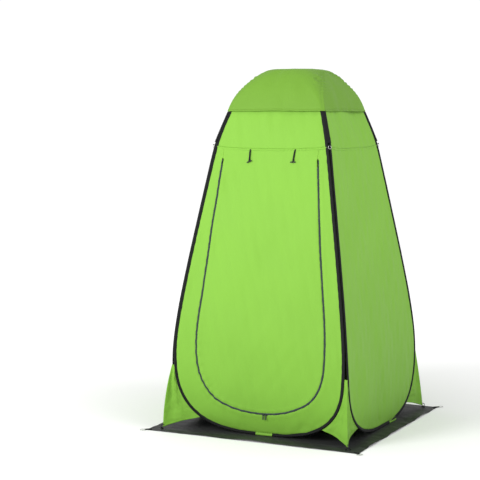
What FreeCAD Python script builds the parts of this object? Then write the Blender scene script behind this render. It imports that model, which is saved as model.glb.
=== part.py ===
import FreeCAD, Part
import math
import os

from FreeCAD import Vector as V

# Pop-up privacy shower tent. Millimetres, +Z up, front (door side) toward -Y.
# The origin is the middle of the groundsheet's underside.

# ---------------------------------------------------------------- driving dimensions
CAP_TOP = 1890.0            # highest point of the rain cap
WALL_SPREAD = 1000.0        # between opposite walls at their widest

# Every height follows CAP_TOP and every width follows WALL_SPREAD.
RISE = CAP_TOP / 1890.0
SPAN = WALL_SPREAD / 1000.0

SHEET_WIDTH = WALL_SPREAD + 204.0   # groundsheet along X
SHEET_DEPTH = WALL_SPREAD + 184.0   # groundsheet along Y
SHEET_THICK = 1.0
SHEET_CORNER_R = 10.0

FABRIC = 0.8                # wall, band and door cloth
WIRE_R = 1.5                # spring-steel hoop wire
SLEEVE_BORE_R = 2.3
SLEEVE_R = 5.5              # black binding round each hoop
SEAM_BITE = 1.5             # how far a sewn edge runs into a sleeve
HOOP_INSET = 1.5 * SLEEVE_R + 0.25  # hoop centre line in from the corner of the walls
HOOP_LIFT = SLEEVE_R + 2.3  # lowest point of a hoop's centre line
HOOP_TOP = CAP_TOP - 14.0   # highest point of a hoop's centre line
FOOT_TOP = 420.0 * RISE     # the hoops part below this height
FOOT_POWER = 2.9            # squareness of the rounded foot of a hoop
ARCH_START = 1700.0 * RISE  # the hoops part again above this height

# Half width of the walls at each height: (height, half width).
UPPER_PROFILE = [(400, 499), (620, 476), (880, 435), (1130, 392), (1400, 345), (1520, 323),
                 (1660, 276), (1700, 263), (1750, 244), (1800, 216), (1850, 178), (1890, 132)]
UPPER_PROFILE = [(z * RISE, w * SPAN) for z, w in UPPER_PROFILE]
FRONT_FOOT = [(-40 * RISE, 441 * SPAN), (200 * RISE, 484 * SPAN)]
SIDE_FOOT = [(-40 * RISE, 500 * SPAN), (200 * RISE, 501 * SPAN)]

BAND_Z = 1480.0 * RISE      # level seam between the tall wall and the band above it

DOOR_HINGE_Z = 1390.0 * RISE
DOOR_GAP = 1.0              # door's top edge and the wall above, each this far from the hinge line
ZIP_TOP = 1420.0 * RISE
ZIP_BOTTOM = 118.0 * RISE
ZIP_ARC_R = 600.0 * SPAN    # lowest stretch of the zip is a round arc
ZIP_ARC_HALF = 170.0 * SPAN
ZIP_LEAD = 35.0 * SPAN      # straight run from the arc into each side
ZIP_SIDE = [(264, 183), (314, 235), (348, 300), (365, 380), (368, 490), (357, 620),
            (333, 820), (314, 1010), (299, 1140), (271, 1425)]
ZIP_SIDE = [(x * SPAN, z * RISE) for x, z in ZIP_SIDE]
ZIP_GAP = 1.0               # half the gap between the two tapes
ZIP_TAPE = 4.5              # width of each tape
ZIP_THICK = 2.0
TAPE_BITE = 1.0             # tape lies this far over the cloth beside it

SLIDER_X = {"left": 24.0, "right": 39.0}
SLIDER_LENGTH = 11.0
SLIDER_PLATE = 1.4
SLIDER_DEPTH = 8.0
SLIDER_CLEAR = 0.5
SLIDER_POST = 0.9
EYE_R = 2.6                 # slider's eye for the pull
EYE_BORE_R = 1.3
EYE_WIDTH = 2.0
EYE_OUT = 1.2               # eye's middle beyond the outer plate
PULL_LENGTH = 24.0
PULL_WIDTH = 6.0
PULL_THICK = 1.6
PULL_FILLET = 0.6
BAIL_HALF = 2.6
BAIL_DROP = 7.0
BAIL_R = 0.8

PATCH_LENGTH = 95.0
PATCH_START = {"front": -28.0, "right": 88.0, "back": -28.0, "left": 88.0}
PATCH_THICK = 0.7
PATCH_FLAP = 26.0

MESH_THICK = 1.0
MESH_CORNER = 0.52          # just over half way out from the middle of two arch ends

FERRULE_LENGTH = 40.0
FERRULE_R = 2.1

TIP_X = WALL_SPREAD / 2.0 + 27.0    # outer tip of each corner gusset
TIP_Y = WALL_SPREAD / 2.0 + 46.0
TIP_Z = 25.0
GUSSET_THICK = 1.0
GUSSET_FOOT_X = 278.0 * SPAN        # where a gusset's hem meets the hoop
GUSSET_BOW = 5.0
GUSSET_INWARD = (0.81, 0.58)        # direction of a half's thickness: more, and less

HOOK_R = 2.0
HOOK_BAR_HEIGHT = 12.0
HOOK_BAR_WIDTH = 22.0
HOOK_OUT = 4.0              # hook bar beyond the gusset's tip
HOOK_ROOT = 7.0             # hook starts this far inside the tip
HOOK_REACH = 7.0            # hook comes down this far beyond its bar
HOOK_TOP_Z = 27.0
HOOK_END_Z = 5.0

TIE_X = {"left": -124.0, "right": 135.0}
TIE_WIDTH = 9.0
TIE_THICK = 1.2
TIE_LENGTH = 62.0
TIE_TOP = BAND_Z - 7.0
TOGGLE_R = 3.5
TOGGLE_LENGTH = 30.0
TOGGLE_FILLET = 1.5
WALL_CLEAR = 0.6

CAP_THICK = 1.2
# Rounded-square sections of the cap: (height below the top, half width, corner radius).
CAP_SECTIONS = [(222, 284, 24), (180, 271, 28), (140, 256, 42), (100, 236, 66), (60, 208, 88),
                (33, 185, 100), (14, 162, 108), (6, 148, 108), (0, 124, 100)]
CAP_SECTIONS = [(d * RISE, w * SPAN, r * SPAN) for d, w, r in CAP_SECTIONS]
CAP_HEM_Z = CAP_TOP - CAP_SECTIONS[0][0]

STRAP_WIDTH = 12.0
STRAP_THICK = 1.2
STRAP_GAP = 2.0             # strap and cap hem, each this far from the strap's hinge line
STRAP_END_Z = BAND_Z + 28.0
STRAP_SHORT = 4.0           # strap stops this far short of its tab's end
TAB_WIDTH = 20.0
TAB_LENGTH = 32.0
TAB_THICK = 1.6

GUY_Z = BAND_Z + 14.0
GUY_RING_R = 8.0            # to the middle of the wire
GUY_WIRE_R = 1.2
GUY_LOOP_OUT = 7.0          # ring's hinge line outside the sleeves
SHEET_RING_R = 13.5
SHEET_WIRE_R = 1.5
SHEET_RING_OUT = 5.0        # ring's hinge line beyond the sheet's corner
LOOP_WALL = 0.8
LOOP_CLEAR = 0.2
GUY_LOOP_WIDTH = 6.0
SHEET_LOOP_WIDTH = 8.0
SHEET_TAB_LENGTH = 30.0
SHEET_TAB_WIDTH = 24.0
SHEET_NECK = 8.0            # narrow strip of the tab inside the sheet's corner
WEBBING_THICK = 1.6

REACH = WALL_SPREAD         # half side of the boxes that cut wall pieces

SIDES = {"front": 0, "right": 90, "back": 180, "left": 270}
CORNERS = {"fr": (1, -1), "br": (1, 1), "bl": (-1, 1), "fl": (-1, -1)}
ROOT2 = math.sqrt(2.0)
UP = V(0, 0, 1)


# ---------------------------------------------------------------- curves
def rounded_path(points, closed=False):
    """Straight runs joined by tangent arcs, each arc as large as its two runs allow."""
    count = len(points)
    corner = {}
    for i in range(count) if closed else range(1, count - 1):
        before, here, after = points[i - 1], points[i], points[(i + 1) % count]
        run_in, run_out = here - before, after - here
        turn = run_in.getAngle(run_out)
        if turn < 1e-4:
            continue
        cut = 0.45 * min(run_in.Length, run_out.Length)
        run_in.normalize()
        run_out.normalize()
        radius = cut / math.tan(turn / 2.0)
        to_centre = (run_out - run_in).normalize()
        deep = radius / math.cos(turn / 2.0) - radius
        corner[i] = (here - run_in * cut, here + to_centre * deep, here + run_out * cut)
    edges = []
    for i in range(count if closed else count - 1):
        j = (i + 1) % count
        start = corner[i][2] if i in corner else points[i]
        end = corner[j][0] if j in corner else points[j]
        edges.append(Part.makeLine(start, end))
        if j in corner:
            edges.append(Part.Arc(*corner[j]).toShape())
    return Part.Wire(edges)


def offset_points(points, offset, closed):
    """Points in XZ moved to the right of their direction of travel, in their own plane."""
    count = len(points)
    moved = []
    for i, (x, z) in enumerate(points):
        before = points[i - 1] if closed or i > 0 else points[0]
        after = points[(i + 1) % count] if closed or i < count - 1 else points[-1]
        dx, dz = after[0] - before[0], after[1] - before[1]
        length = math.hypot(dx, dz)
        moved.append((x + dz / length * offset, z - dx / length * offset))
    return moved


# ---------------------------------------------------------------- wall profile
FOOT_OF = {"front": FRONT_FOOT, "back": FRONT_FOOT, "left": SIDE_FOOT, "right": SIDE_FOOT}


def profile(side, shift=0.0):
    """Wall profile in the YZ plane, bottom first, moved outward by shift."""
    return rounded_path([V(0, -w - shift, z) for z, w in FOOT_OF[side] + UPPER_PROFILE])


PROFILE_EDGES = {side: profile(side).OrderedEdges for side in FOOT_OF}


def half_width(z, side="front"):
    """Distance from the middle of the tent to a wall at a height."""
    for edge in PROFILE_EDGES[side]:
        low, high = edge.Vertexes[0].Point, edge.Vertexes[-1].Point
        if min(low.z, high.z) <= z <= max(low.z, high.z):
            break
    if edge.Curve.TypeId == "Part::GeomLine":
        return -(low.y + (high.y - low.y) * (z - low.z) / (high.z - low.z))
    centre, radius = edge.Curve.Center, edge.Curve.Radius
    side_of_centre = math.copysign(1.0, low.y - centre.y)
    return -(centre.y + side_of_centre * math.sqrt(radius ** 2 - (z - centre.z) ** 2))


def wall_lean(z, side="front"):
    """Sideways run of the wall for each unit of height."""
    return half_width(z + 0.5, side) - half_width(z - 0.5, side)


def wall_slab(side, inside, outside):
    """A sheet between two distances out from the wall, in the front position."""
    outer = profile(side, outside).OrderedEdges
    inner = profile(side, inside).OrderedEdges
    low = FOOT_OF[side][0]
    high = UPPER_PROFILE[-1]
    ends = [Part.makeLine(V(0, -w - outside, z), V(0, -w - inside, z)) for z, w in (low, high)]
    face = Part.Face(Part.Wire(Part.__sortEdges__(outer + inner + ends)))
    reach = half_width(FOOT_TOP, side) + 50.0
    face.translate(V(-reach, 0, 0))
    return face.extrude(V(2 * reach, 0, 0))


def turned(shape, side):
    """A shape built in the front position, turned to its own side of the tent."""
    copy = shape.copy()
    copy.rotate(V(0, 0, 0), UP, SIDES[side])
    return copy


# ---------------------------------------------------------------- hoop outline
def half_outline():
    """Half of a hoop's centre line in the XZ plane, from the bottom middle to the top middle."""
    foot_height = FOOT_TOP - HOOP_LIFT
    foot_width = half_width(FOOT_TOP) - HOOP_INSET
    points = [(100.0 * SPAN, HOOP_LIFT)]
    for share in (0.35, 0.50, 0.62, 0.73, 0.82, 0.895, 0.95, 0.985):
        drop = (1.0 - share ** FOOT_POWER) ** (1.0 / FOOT_POWER)
        points.append((foot_width * share, FOOT_TOP - foot_height * drop))
    for z in (420, 540, 680, 820, 960, 1100, 1240, 1380, 1500, 1590, 1650, 1700):
        points.append((half_width(z * RISE) - HOOP_INSET, z * RISE))
    for share in (0.27, 0.48, 0.66, 0.80, 0.91, 0.98):
        z = ARCH_START + (HOOP_TOP - ARCH_START) * share
        points.append(((half_width(z) - HOOP_INSET) * math.sqrt(1.0 - share ** 2), z))
    return points


HALF = half_outline()
OUTLINE = HALF + [(-x, z) for x, z in reversed(HALF)]


def inset_outline(inset):
    """The closed outline moved inward by inset in its own plane."""
    return offset_points(OUTLINE, -inset, True)


def prism(edges):
    """A closed outline in XZ, drawn out toward -Y into a solid."""
    return Part.Face(Part.Wire(Part.__sortEdges__(edges))).extrude(V(0, -REACH, 0))


def outline_prism(points):
    return prism(rounded_path([V(x, 0, z) for x, z in points], True).Edges)


def on_wall(x, z, side):
    return V(x, -half_width(z, side), z)


def rod(points, radius, closed=False):
    """A round rod along a rounded path."""
    path = rounded_path(points, closed)
    first = path.OrderedEdges[0]
    start = first.valueAt(first.FirstParameter)
    direction = first.tangentAt(first.FirstParameter)
    section = Part.Face(Part.Wire(Part.makeCircle(radius, start, direction)))
    return path.makePipe(section).Solids[0]


# ---------------------------------------------------------------- frame pieces
def hoop_pieces(side):
    points = [on_wall(x, z, side) for x, z in OUTLINE]
    wire = rod(points, WIRE_R, closed=True)
    sleeve = rod(points, SLEEVE_R, closed=True).cut(rod(points, SLEEVE_BORE_R, closed=True))
    return turned(wire, side), turned(sleeve, side)


def foot_rod(side, radius):
    """The lowest stretch of a hoop as a solid rod."""
    low = HALF[:4]
    stretch = [(-x, z) for x, z in reversed(low)] + low
    return rod([on_wall(x, z, side) for x, z in stretch], radius)


def ferrule(side):
    """Crimped tube that joins the two ends of a hoop's wire, inside the sleeve."""
    start = V(-FERRULE_LENGTH / 2.0, -half_width(HOOP_LIFT, side), HOOP_LIFT)
    along = V(1, 0, 0)
    outer = Part.makeCylinder(FERRULE_R, FERRULE_LENGTH, start, along)
    return turned(outer.cut(Part.makeCylinder(WIRE_R, FERRULE_LENGTH, start, along)), side)


def patch(side):
    """Cloth patch sewn round the sleeve over the joint of the hoop, with a flap up the wall."""
    x0 = PATCH_START[side]
    near = FABRIC / 2.0
    flap = wall_slab(side, near, near + PATCH_THICK)
    flap = flap.common(Part.makeBox(PATCH_LENGTH, REACH, PATCH_FLAP - HOOP_LIFT,
                                    V(x0, -REACH, HOOP_LIFT)))
    wrap = foot_rod(side, SLEEVE_R + PATCH_THICK)
    wrap = wrap.common(Part.makeBox(PATCH_LENGTH, REACH, PATCH_FLAP, V(x0, -REACH, 0)))
    return turned(wrap.fuse(flap).cut(foot_rod(side, SLEEVE_R)), side)


# ---------------------------------------------------------------- door zip
def zip_line(offset):
    """The whole U of the zip, moved outward by offset: its edges and its two top ends."""
    centre_z = ZIP_BOTTOM + ZIP_ARC_R
    drop = math.sqrt(ZIP_ARC_R ** 2 - ZIP_ARC_HALF ** 2)
    start = (ZIP_ARC_HALF, centre_z - drop)
    lead = (start[0] + drop * ZIP_LEAD / ZIP_ARC_R, start[1] + ZIP_ARC_HALF * ZIP_LEAD / ZIP_ARC_R)
    side = offset_points([start, lead] + ZIP_SIDE, offset, False)
    grown = (ZIP_ARC_R + offset) / ZIP_ARC_R
    side[0] = (ZIP_ARC_HALF * grown, centre_z - drop * grown)
    right = rounded_path([V(x, 0, z) for x, z in side])
    left = right.mirror(V(0, 0, 0), V(1, 0, 0))
    x, z = side[0]
    arc = Part.Arc(V(-x, 0, z), V(0, 0, ZIP_BOTTOM - offset), V(x, 0, z))
    x, z = side[-1]
    return right.Edges + left.Edges + [arc.toShape()], V(-x, 0, z), V(x, 0, z)


def below(shape, top):
    return shape.common(Part.makeBox(2.0 * REACH, REACH, top, V(-REACH, -REACH, 0)))


def inside_zip(offset, top):
    """Everything inside the zip's U, up to a level top edge."""
    edges, left, right = zip_line(offset)
    return below(prism(edges + [Part.makeLine(left, right)]), top)


def zip_band(inner, outer, top):
    """A strip that follows the zip, between two distances outward from its centre line."""
    inner_edges, inner_left, inner_right = zip_line(inner)
    outer_edges, outer_left, outer_right = zip_line(outer)
    ends = [Part.makeLine(inner_left, outer_left), Part.makeLine(inner_right, outer_right)]
    return below(prism(inner_edges + outer_edges + ends), top)


def on_slider(name, shape):
    """A shape or vector in a slider's own frame, moved to the slider's place on the zip."""
    x = SLIDER_X[name]
    place = on_wall(x, ZIP_BOTTOM + ZIP_ARC_R - math.sqrt(ZIP_ARC_R ** 2 - x ** 2), "front")
    lean = FreeCAD.Rotation(V(1, 0, 0), math.degrees(math.atan(wall_lean(ZIP_BOTTOM))))
    swing = FreeCAD.Rotation(V(0, 1, 0), -math.degrees(math.asin(x / ZIP_ARC_R)))
    frame = FreeCAD.Placement(place, lean.multiply(swing))
    if isinstance(shape, V):
        return frame.multVec(shape)
    shape.Placement = frame
    return shape


SLIDER_HALF = ZIP_THICK / 2.0 + SLIDER_CLEAR        # middle of the tape to a plate
EYE = V(0, -SLIDER_HALF - SLIDER_PLATE - EYE_OUT, -SLIDER_DEPTH / 2.0)


def zip_slider(name):
    """Slider on the tent's tape: an outer plate below the gap, a post in it, an inner plate."""
    length, plate, half = SLIDER_LENGTH, SLIDER_PLATE, SLIDER_HALF
    foot = SLIDER_POST / 2.0 - SLIDER_DEPTH
    outer = Part.makeBox(length, plate, SLIDER_DEPTH, V(-length / 2.0, -half - plate, foot))
    inner = Part.makeBox(length, plate, SLIDER_DEPTH, V(-length / 2.0, half, foot))
    post = Part.makeBox(0.6 * length, 2.0 * half + plate, SLIDER_POST,
                        V(-0.3 * length, -half - plate / 2.0, -SLIDER_POST / 2.0))
    start = EYE - V(EYE_WIDTH / 2.0, 0, 0)
    eye = Part.makeCylinder(EYE_R, EYE_WIDTH, start, V(1, 0, 0))
    eye = eye.cut(Part.makeCylinder(EYE_BORE_R, EYE_WIDTH, start, V(1, 0, 0)))
    behind = Part.makeBox(2.0 * EYE_WIDTH, 2.0 * EYE_R, SLIDER_DEPTH,
                          V(-EYE_WIDTH, -half - plate, -SLIDER_DEPTH))
    return on_slider(name, outer.fuse([inner, post, eye.cut(behind)]).removeSplitter())


def pull_pivot(name):
    """Middle of the slider's eye."""
    return on_slider(name, EYE)


def zip_pull(name):
    """Pull tab with a bail through the slider's eye."""
    route = [(-BAIL_HALF, -BAIL_DROP), (-BAIL_HALF, 0), (BAIL_HALF, 0), (BAIL_HALF, -BAIL_DROP)]
    bail = rod([V(x, 0, z) for x, z in route], BAIL_R)
    tab = Part.makeBox(PULL_WIDTH, PULL_THICK, PULL_LENGTH - BAIL_DROP + 1.0,
                       V(-PULL_WIDTH / 2.0, -PULL_THICK / 2.0, -PULL_LENGTH))
    pull = bail.fuse(tab.makeFillet(PULL_FILLET, tab.Edges))
    pull.translate(pull_pivot(name))
    return pull


# ---------------------------------------------------------------- corner pieces
def corner_turned(shape, corner):
    """A shape built for the +X -Y corner, mirrored to its own corner."""
    sx, sy = CORNERS[corner]
    copy = shape.copy()
    if sx < 0:
        copy = copy.mirror(V(0, 0, 0), V(1, 0, 0))
    if sy > 0:
        copy = copy.mirror(V(0, 0, 0), V(0, 1, 0))
    return copy


def diagonal(out, across, z):
    """A point by its distance out along the +X -Y diagonal, its distance across it and its height."""
    return V((out + across) / ROOT2, (-out + across) / ROOT2, z)


def gusset_edge(side):
    """Lower stretch of a hoop's outer edge, from the foot to where the hoops meet."""
    edge = inset_outline(-(SLEEVE_R - SEAM_BITE))
    keep = [(x, z) for x, z in edge if x > GUSSET_FOOT_X and z < FOOT_TOP + 1.0]
    keep.sort(key=lambda p: p[1])
    points = []
    for x, z in keep:
        y = half_width(z, side)
        points.append(V(x, -y, z) if side == "front" else V(y, -x, z))
    curve = Part.BSplineCurve()
    curve.interpolate(points)
    return curve.toShape(), points


def gusset():
    """Corner cloth between two hoops: two ruled halves that meet in a crease."""
    front_edge, front_points = gusset_edge("front")
    side_edge, side_points = gusset_edge("right")
    top_y = -front_points[-1].y
    top_x = side_points[-1].x
    top = V(top_x, -top_y, FOOT_TOP)
    tip = V(TIP_X, -TIP_Y, TIP_Z)
    bow = (top + tip) * 0.5 + V(1, -1, 0).normalize() * GUSSET_BOW
    crease = Part.Arc(tip, bow, top).toShape()
    halves = []
    more, less = GUSSET_INWARD
    for edge, inward in ((front_edge, V(less, more, 0)), (side_edge, V(-more, -less, 0))):
        face = Part.makeRuledSurface(edge, crease)
        halves.append(face.extrude(inward * GUSSET_THICK))
    return halves[0].fuse(halves[1])


def tip_out():
    return (TIP_X + TIP_Y) / ROOT2


def tip_across():
    return (TIP_X - TIP_Y) / ROOT2


def gusset_hook():
    """Plastic hook on the gusset's tip that drops over the bar on the groundsheet."""
    out, across = tip_out(), tip_across()
    far = HOOK_OUT + HOOK_REACH
    route = [(-HOOK_ROOT, HOOK_TOP_Z), (2, HOOK_TOP_Z), (far, HOOK_TOP_Z - 3), (far, HOOK_END_Z)]
    return rod([diagonal(out + s, across, z) for s, z in route], HOOK_R)


def hook_bar():
    """Webbing loop that stands on the groundsheet under the hook."""
    out, across = tip_out() + HOOK_OUT, tip_across()
    half = HOOK_BAR_WIDTH / 2.0
    route = [(-half, SHEET_THICK), (-half, HOOK_BAR_HEIGHT), (half, HOOK_BAR_HEIGHT), (half, SHEET_THICK)]
    return rod([diagonal(out, across + s, z) for s, z in route], HOOK_R)


def corner_out(z):
    """How far out along the diagonal the sleeves at a corner reach at a height."""
    return (half_width(z) - HOOP_INSET / 2.0) * ROOT2 + SLEEVE_R


def loop_radius(width, ring_r, wire_r):
    """Bore that a ring's curved wire needs through a straight loop of a given width."""
    return wire_r + width ** 2 / (8.0 * ring_r) + LOOP_CLEAR


def ring(ring_r, wire_r, centre, normal):
    solid = Part.makeTorus(ring_r, wire_r)
    solid.Placement = FreeCAD.Placement(centre, FreeCAD.Rotation(UP, normal))
    return solid


def loop_tube(middle, width, ring_r, wire_r):
    across = V(1, 1, 0).normalize()
    bore = loop_radius(width, ring_r, wire_r)
    start = middle - across * (width / 2.0)
    outer = Part.makeCylinder(bore + LOOP_WALL, width, start, across)
    return outer, Part.makeCylinder(bore, width, start, across)


def slab_across(out0, out1, width, z0, z1):
    """A flat piece along the diagonal."""
    half = width / 2.0
    corners = [diagonal(out0, -half, z0), diagonal(out1, -half, z0),
               diagonal(out1, half, z0), diagonal(out0, half, z0)]
    return Part.Face(Part.makePolygon(corners + corners[:1])).extrude(V(0, 0, z1 - z0))


def guy_axis():
    return diagonal(corner_out(GUY_Z) + GUY_LOOP_OUT, 0, GUY_Z)


def guy_tab():
    """Short webbing tab sewn between two sleeves, with a loop that holds the ring."""
    outer, bore = loop_tube(guy_axis(), GUY_LOOP_WIDTH, GUY_RING_R, GUY_WIRE_R)
    start = corner_out(GUY_Z) - SLEEVE_R
    strip = slab_across(start, corner_out(GUY_Z) + GUY_LOOP_OUT, GUY_LOOP_WIDTH, GUY_Z,
                        GUY_Z + WEBBING_THICK)
    return outer.fuse(strip).cut(bore)


def guy_ring():
    axis = guy_axis()
    return ring(GUY_RING_R, GUY_WIRE_R, axis - V(0, 0, GUY_RING_R), V(1, -1, 0).normalize())


def sheet_corner():
    return V(SHEET_WIDTH / 2.0, -SHEET_DEPTH / 2.0, 0)


def sheet_ring_axis():
    height = loop_radius(SHEET_LOOP_WIDTH, SHEET_RING_R, SHEET_WIRE_R) + LOOP_WALL
    return sheet_corner() + diagonal(SHEET_RING_OUT, 0, height)


def sheet_tab():
    """Corner tab on the groundsheet with a loop for the peg ring."""
    axis = sheet_ring_axis()
    outer, bore = loop_tube(axis, SHEET_LOOP_WIDTH, SHEET_RING_R, SHEET_WIRE_R)
    top = SHEET_THICK + WEBBING_THICK
    plate = slab_across(-SHEET_TAB_LENGTH, 0.0, SHEET_TAB_WIDTH, SHEET_THICK, top)
    neck = slab_across(-SHEET_NECK, SHEET_RING_OUT, SHEET_LOOP_WIDTH, SHEET_THICK, top)
    plate.translate(sheet_corner())
    neck.translate(sheet_corner())
    return plate.fuse([neck, outer]).cut(bore)


def sheet_ring():
    axis = sheet_ring_axis()
    return ring(SHEET_RING_R, SHEET_WIRE_R, axis + diagonal(SHEET_RING_R, 0, 0), UP)


# ---------------------------------------------------------------- cap and roof
def rounded_square(z, half, radius):
    flat = half - radius
    mid = radius / ROOT2
    edges = []
    for k in range(4):
        turn = FreeCAD.Rotation(UP, 90 * k)
        a = turn.multVec(V(half, -flat, 0))
        b = turn.multVec(V(half, flat, 0))
        m = turn.multVec(V(flat + mid, flat + mid, 0))
        c = turn.multVec(V(flat, half, 0))
        edges.append(Part.makeLine(a, b))
        edges.append(Part.Arc(b, m, c).toShape())
    wire = Part.Wire(edges)
    wire.translate(V(0, 0, z))
    return wire


def rain_cap():
    outer = [rounded_square(CAP_TOP - d, w, r) for d, w, r in CAP_SECTIONS]
    t = CAP_THICK
    hem = CAP_SECTIONS[0][0]
    inner = [rounded_square(CAP_TOP - d - (t if d < hem else 0), w - t, r - t)
             for d, w, r in CAP_SECTIONS]
    return Part.makeLoft(outer, True, False).cut(Part.makeLoft(inner, True, False))


def arch_line(side):
    """A few points along an arch, just inside its sleeve, from +X to -X in the front position."""
    arch = [p for p in HALF if p[1] > ARCH_START + 1.0][1::2]
    span = arch + [(-x, z) for x, z in reversed(arch)]
    inward = V(0, SLEEVE_R - SEAM_BITE, 0)
    turn = FreeCAD.Rotation(UP, SIDES[side])
    return [turn.multVec(on_wall(x, z, side) + inward) for x, z in span]


def roof_grid():
    """Points of the mesh roof: a patch blended from the four arches that frame it."""
    arches = [arch_line(side) for side in ("front", "left", "back", "right")]
    lines = []
    for i, points in enumerate(arches):
        start = (points[0] + arches[i - 1][-1]) * MESH_CORNER
        end = (points[-1] + arches[(i + 1) % 4][0]) * MESH_CORNER
        start.z, end.z = points[0].z, points[-1].z
        lines.append([start] + points + [end])
    front, left, back, right = lines[0][::-1], lines[1], lines[2], lines[3][::-1]
    last = len(front) - 1
    base = front[0].z
    rise = max(point.z for point in front) - base
    grid = []
    for i in range(last + 1):
        u = i / last
        row = []
        for j in range(last + 1):
            v = j / last
            across = left[j] * (1 - u) + right[j] * u
            along = front[i] * (1 - v) + back[i] * v
            corners = ((front[0] * (1 - v) + back[0] * v) * (1 - u)
                       + (front[-1] * (1 - v) + back[-1] * v) * u)
            point = across + along - corners
            below_top = (1 - (front[i].z - base) / rise) * (1 - (left[j].z - base) / rise)
            row.append(V(point.x, point.y, base + rise * (1 - below_top)))
        grid.append(row)
    return grid


def flat_face(*points):
    return Part.Face(Part.makePolygon(list(points) + [points[0]]))


def roof_mesh():
    """Mesh vent stretched between the four arches, under the cap."""
    grid = roof_grid()
    last = len(grid) - 1
    down = V(0, 0, -MESH_THICK)
    faces = []
    for i in range(last):
        for j in range(last):
            a, b, c, d = grid[i][j], grid[i + 1][j], grid[i + 1][j + 1], grid[i][j + 1]
            for corners in ((a, b, d), (b, c, d)):
                faces.append(flat_face(*corners))
                faces.append(flat_face(*[point + down for point in corners]))
    rim = ([grid[i][0] for i in range(last)] + [grid[last][j] for j in range(last)]
           + [grid[i][last] for i in range(last, 0, -1)] + [grid[0][j] for j in range(last, 0, -1)])
    for i, point in enumerate(rim):
        after = rim[(i + 1) % len(rim)]
        faces.append(flat_face(point, after, after + down, point + down))
    return Part.Solid(Part.Shell(faces))


# ---------------------------------------------------------------- straps and ties
def cap_corner_out():
    """Outermost point of the cap's corner along the diagonal, at the hem."""
    depth, half, radius = CAP_SECTIONS[0]
    return (half - radius) * ROOT2 + radius


def strap_line():
    """Start, end and outward normal of a cap strap in the (out, height) plane."""
    start = (cap_corner_out() - STRAP_THICK, CAP_HEM_Z - STRAP_GAP)
    end = (corner_out(STRAP_END_Z) + WALL_CLEAR + TAB_THICK, STRAP_END_Z)
    length = math.hypot(end[0] - start[0], end[1] - start[1])
    run = ((end[0] - start[0]) / length, (end[1] - start[1]) / length)
    return start, run, length


def strap_slab(along0, along1, off0, off1, width):
    """A flat piece on the strap's line, between two distances along it and two off it."""
    start, run, length = strap_line()
    normal = (-run[1], run[0])
    corners = []
    for along, off in ((along0, off0), (along1, off0), (along1, off1), (along0, off1)):
        out = start[0] + run[0] * along + normal[0] * off
        z = start[1] + run[1] * along + normal[1] * off
        corners.append(diagonal(out, -width / 2.0, z))
    across = V(1, 1, 0).normalize() * width
    return Part.Face(Part.makePolygon(corners + corners[:1])).extrude(across)


def cap_strap():
    length = strap_line()[2]
    return strap_slab(STRAP_GAP, length - STRAP_SHORT, 0.0, STRAP_THICK, STRAP_WIDTH)


def strap_tab():
    length = strap_line()[2]
    return strap_slab(length - TAB_LENGTH, length, -TAB_THICK, 0.0, TAB_WIDTH)


def tie_frame(name):
    """Top of a door tie and the direction it hangs in, on the leaning wall."""
    top = on_wall(TIE_X[name], TIE_TOP, "front")
    foot = on_wall(TIE_X[name], TIE_TOP - TIE_LENGTH, "front")
    return top, (foot - top).normalize()


def tie_strap(name):
    top, down = tie_frame(name)
    out = V(0, -1, 0)
    near = FABRIC / 2.0 + WALL_CLEAR
    far = FABRIC / 2.0 + WALL_CLEAR + TOGGLE_R - TIE_THICK / 2.0
    a = top + out * near
    b = top + down * (TIE_LENGTH - TOGGLE_R) + out * far
    half = TIE_WIDTH / 2.0
    corners = [a, a + out * TIE_THICK, b + out * TIE_THICK, b]
    face = Part.Face(Part.makePolygon(corners + corners[:1]))
    face.translate(V(-half, 0, 0))
    return face.extrude(V(TIE_WIDTH, 0, 0))


def toggle(name):
    top, down = tie_frame(name)
    centre = top + down * (TIE_LENGTH - TOGGLE_R) - V(0, FABRIC / 2.0 + WALL_CLEAR + TOGGLE_R, 0)
    start = centre - V(TOGGLE_LENGTH / 2.0, 0, 0)
    bar = Part.makeCylinder(TOGGLE_R, TOGGLE_LENGTH, start, V(1, 0, 0))
    return bar.makeFillet(TOGGLE_FILLET, bar.Edges)


# ---------------------------------------------------------------- build
def wall_pieces(side):
    """Lower wall and upper band of one side, in the front position."""
    slab = wall_slab(side, -FABRIC / 2.0, FABRIC / 2.0)
    panel = slab.common(outline_prism(inset_outline(SLEEVE_R - SEAM_BITE)))
    box = Part.makeBox(2.0 * REACH, REACH, CAP_TOP, V(-REACH, -REACH, BAND_Z))
    return panel.cut(box), panel.common(box)


def write(name, shape):
    solids = shape.Solids
    result = solids[0] if len(solids) == 1 else Part.makeCompound(solids)
    if not result.isValid() or not solids:
        print("CHECK", name, "valid", result.isValid(), "solids", len(solids))
    result.exportStep("parts/%s.step" % name)
    print("%-22s solids %d volume %.0f" % (name, len(solids), result.Volume))


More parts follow.
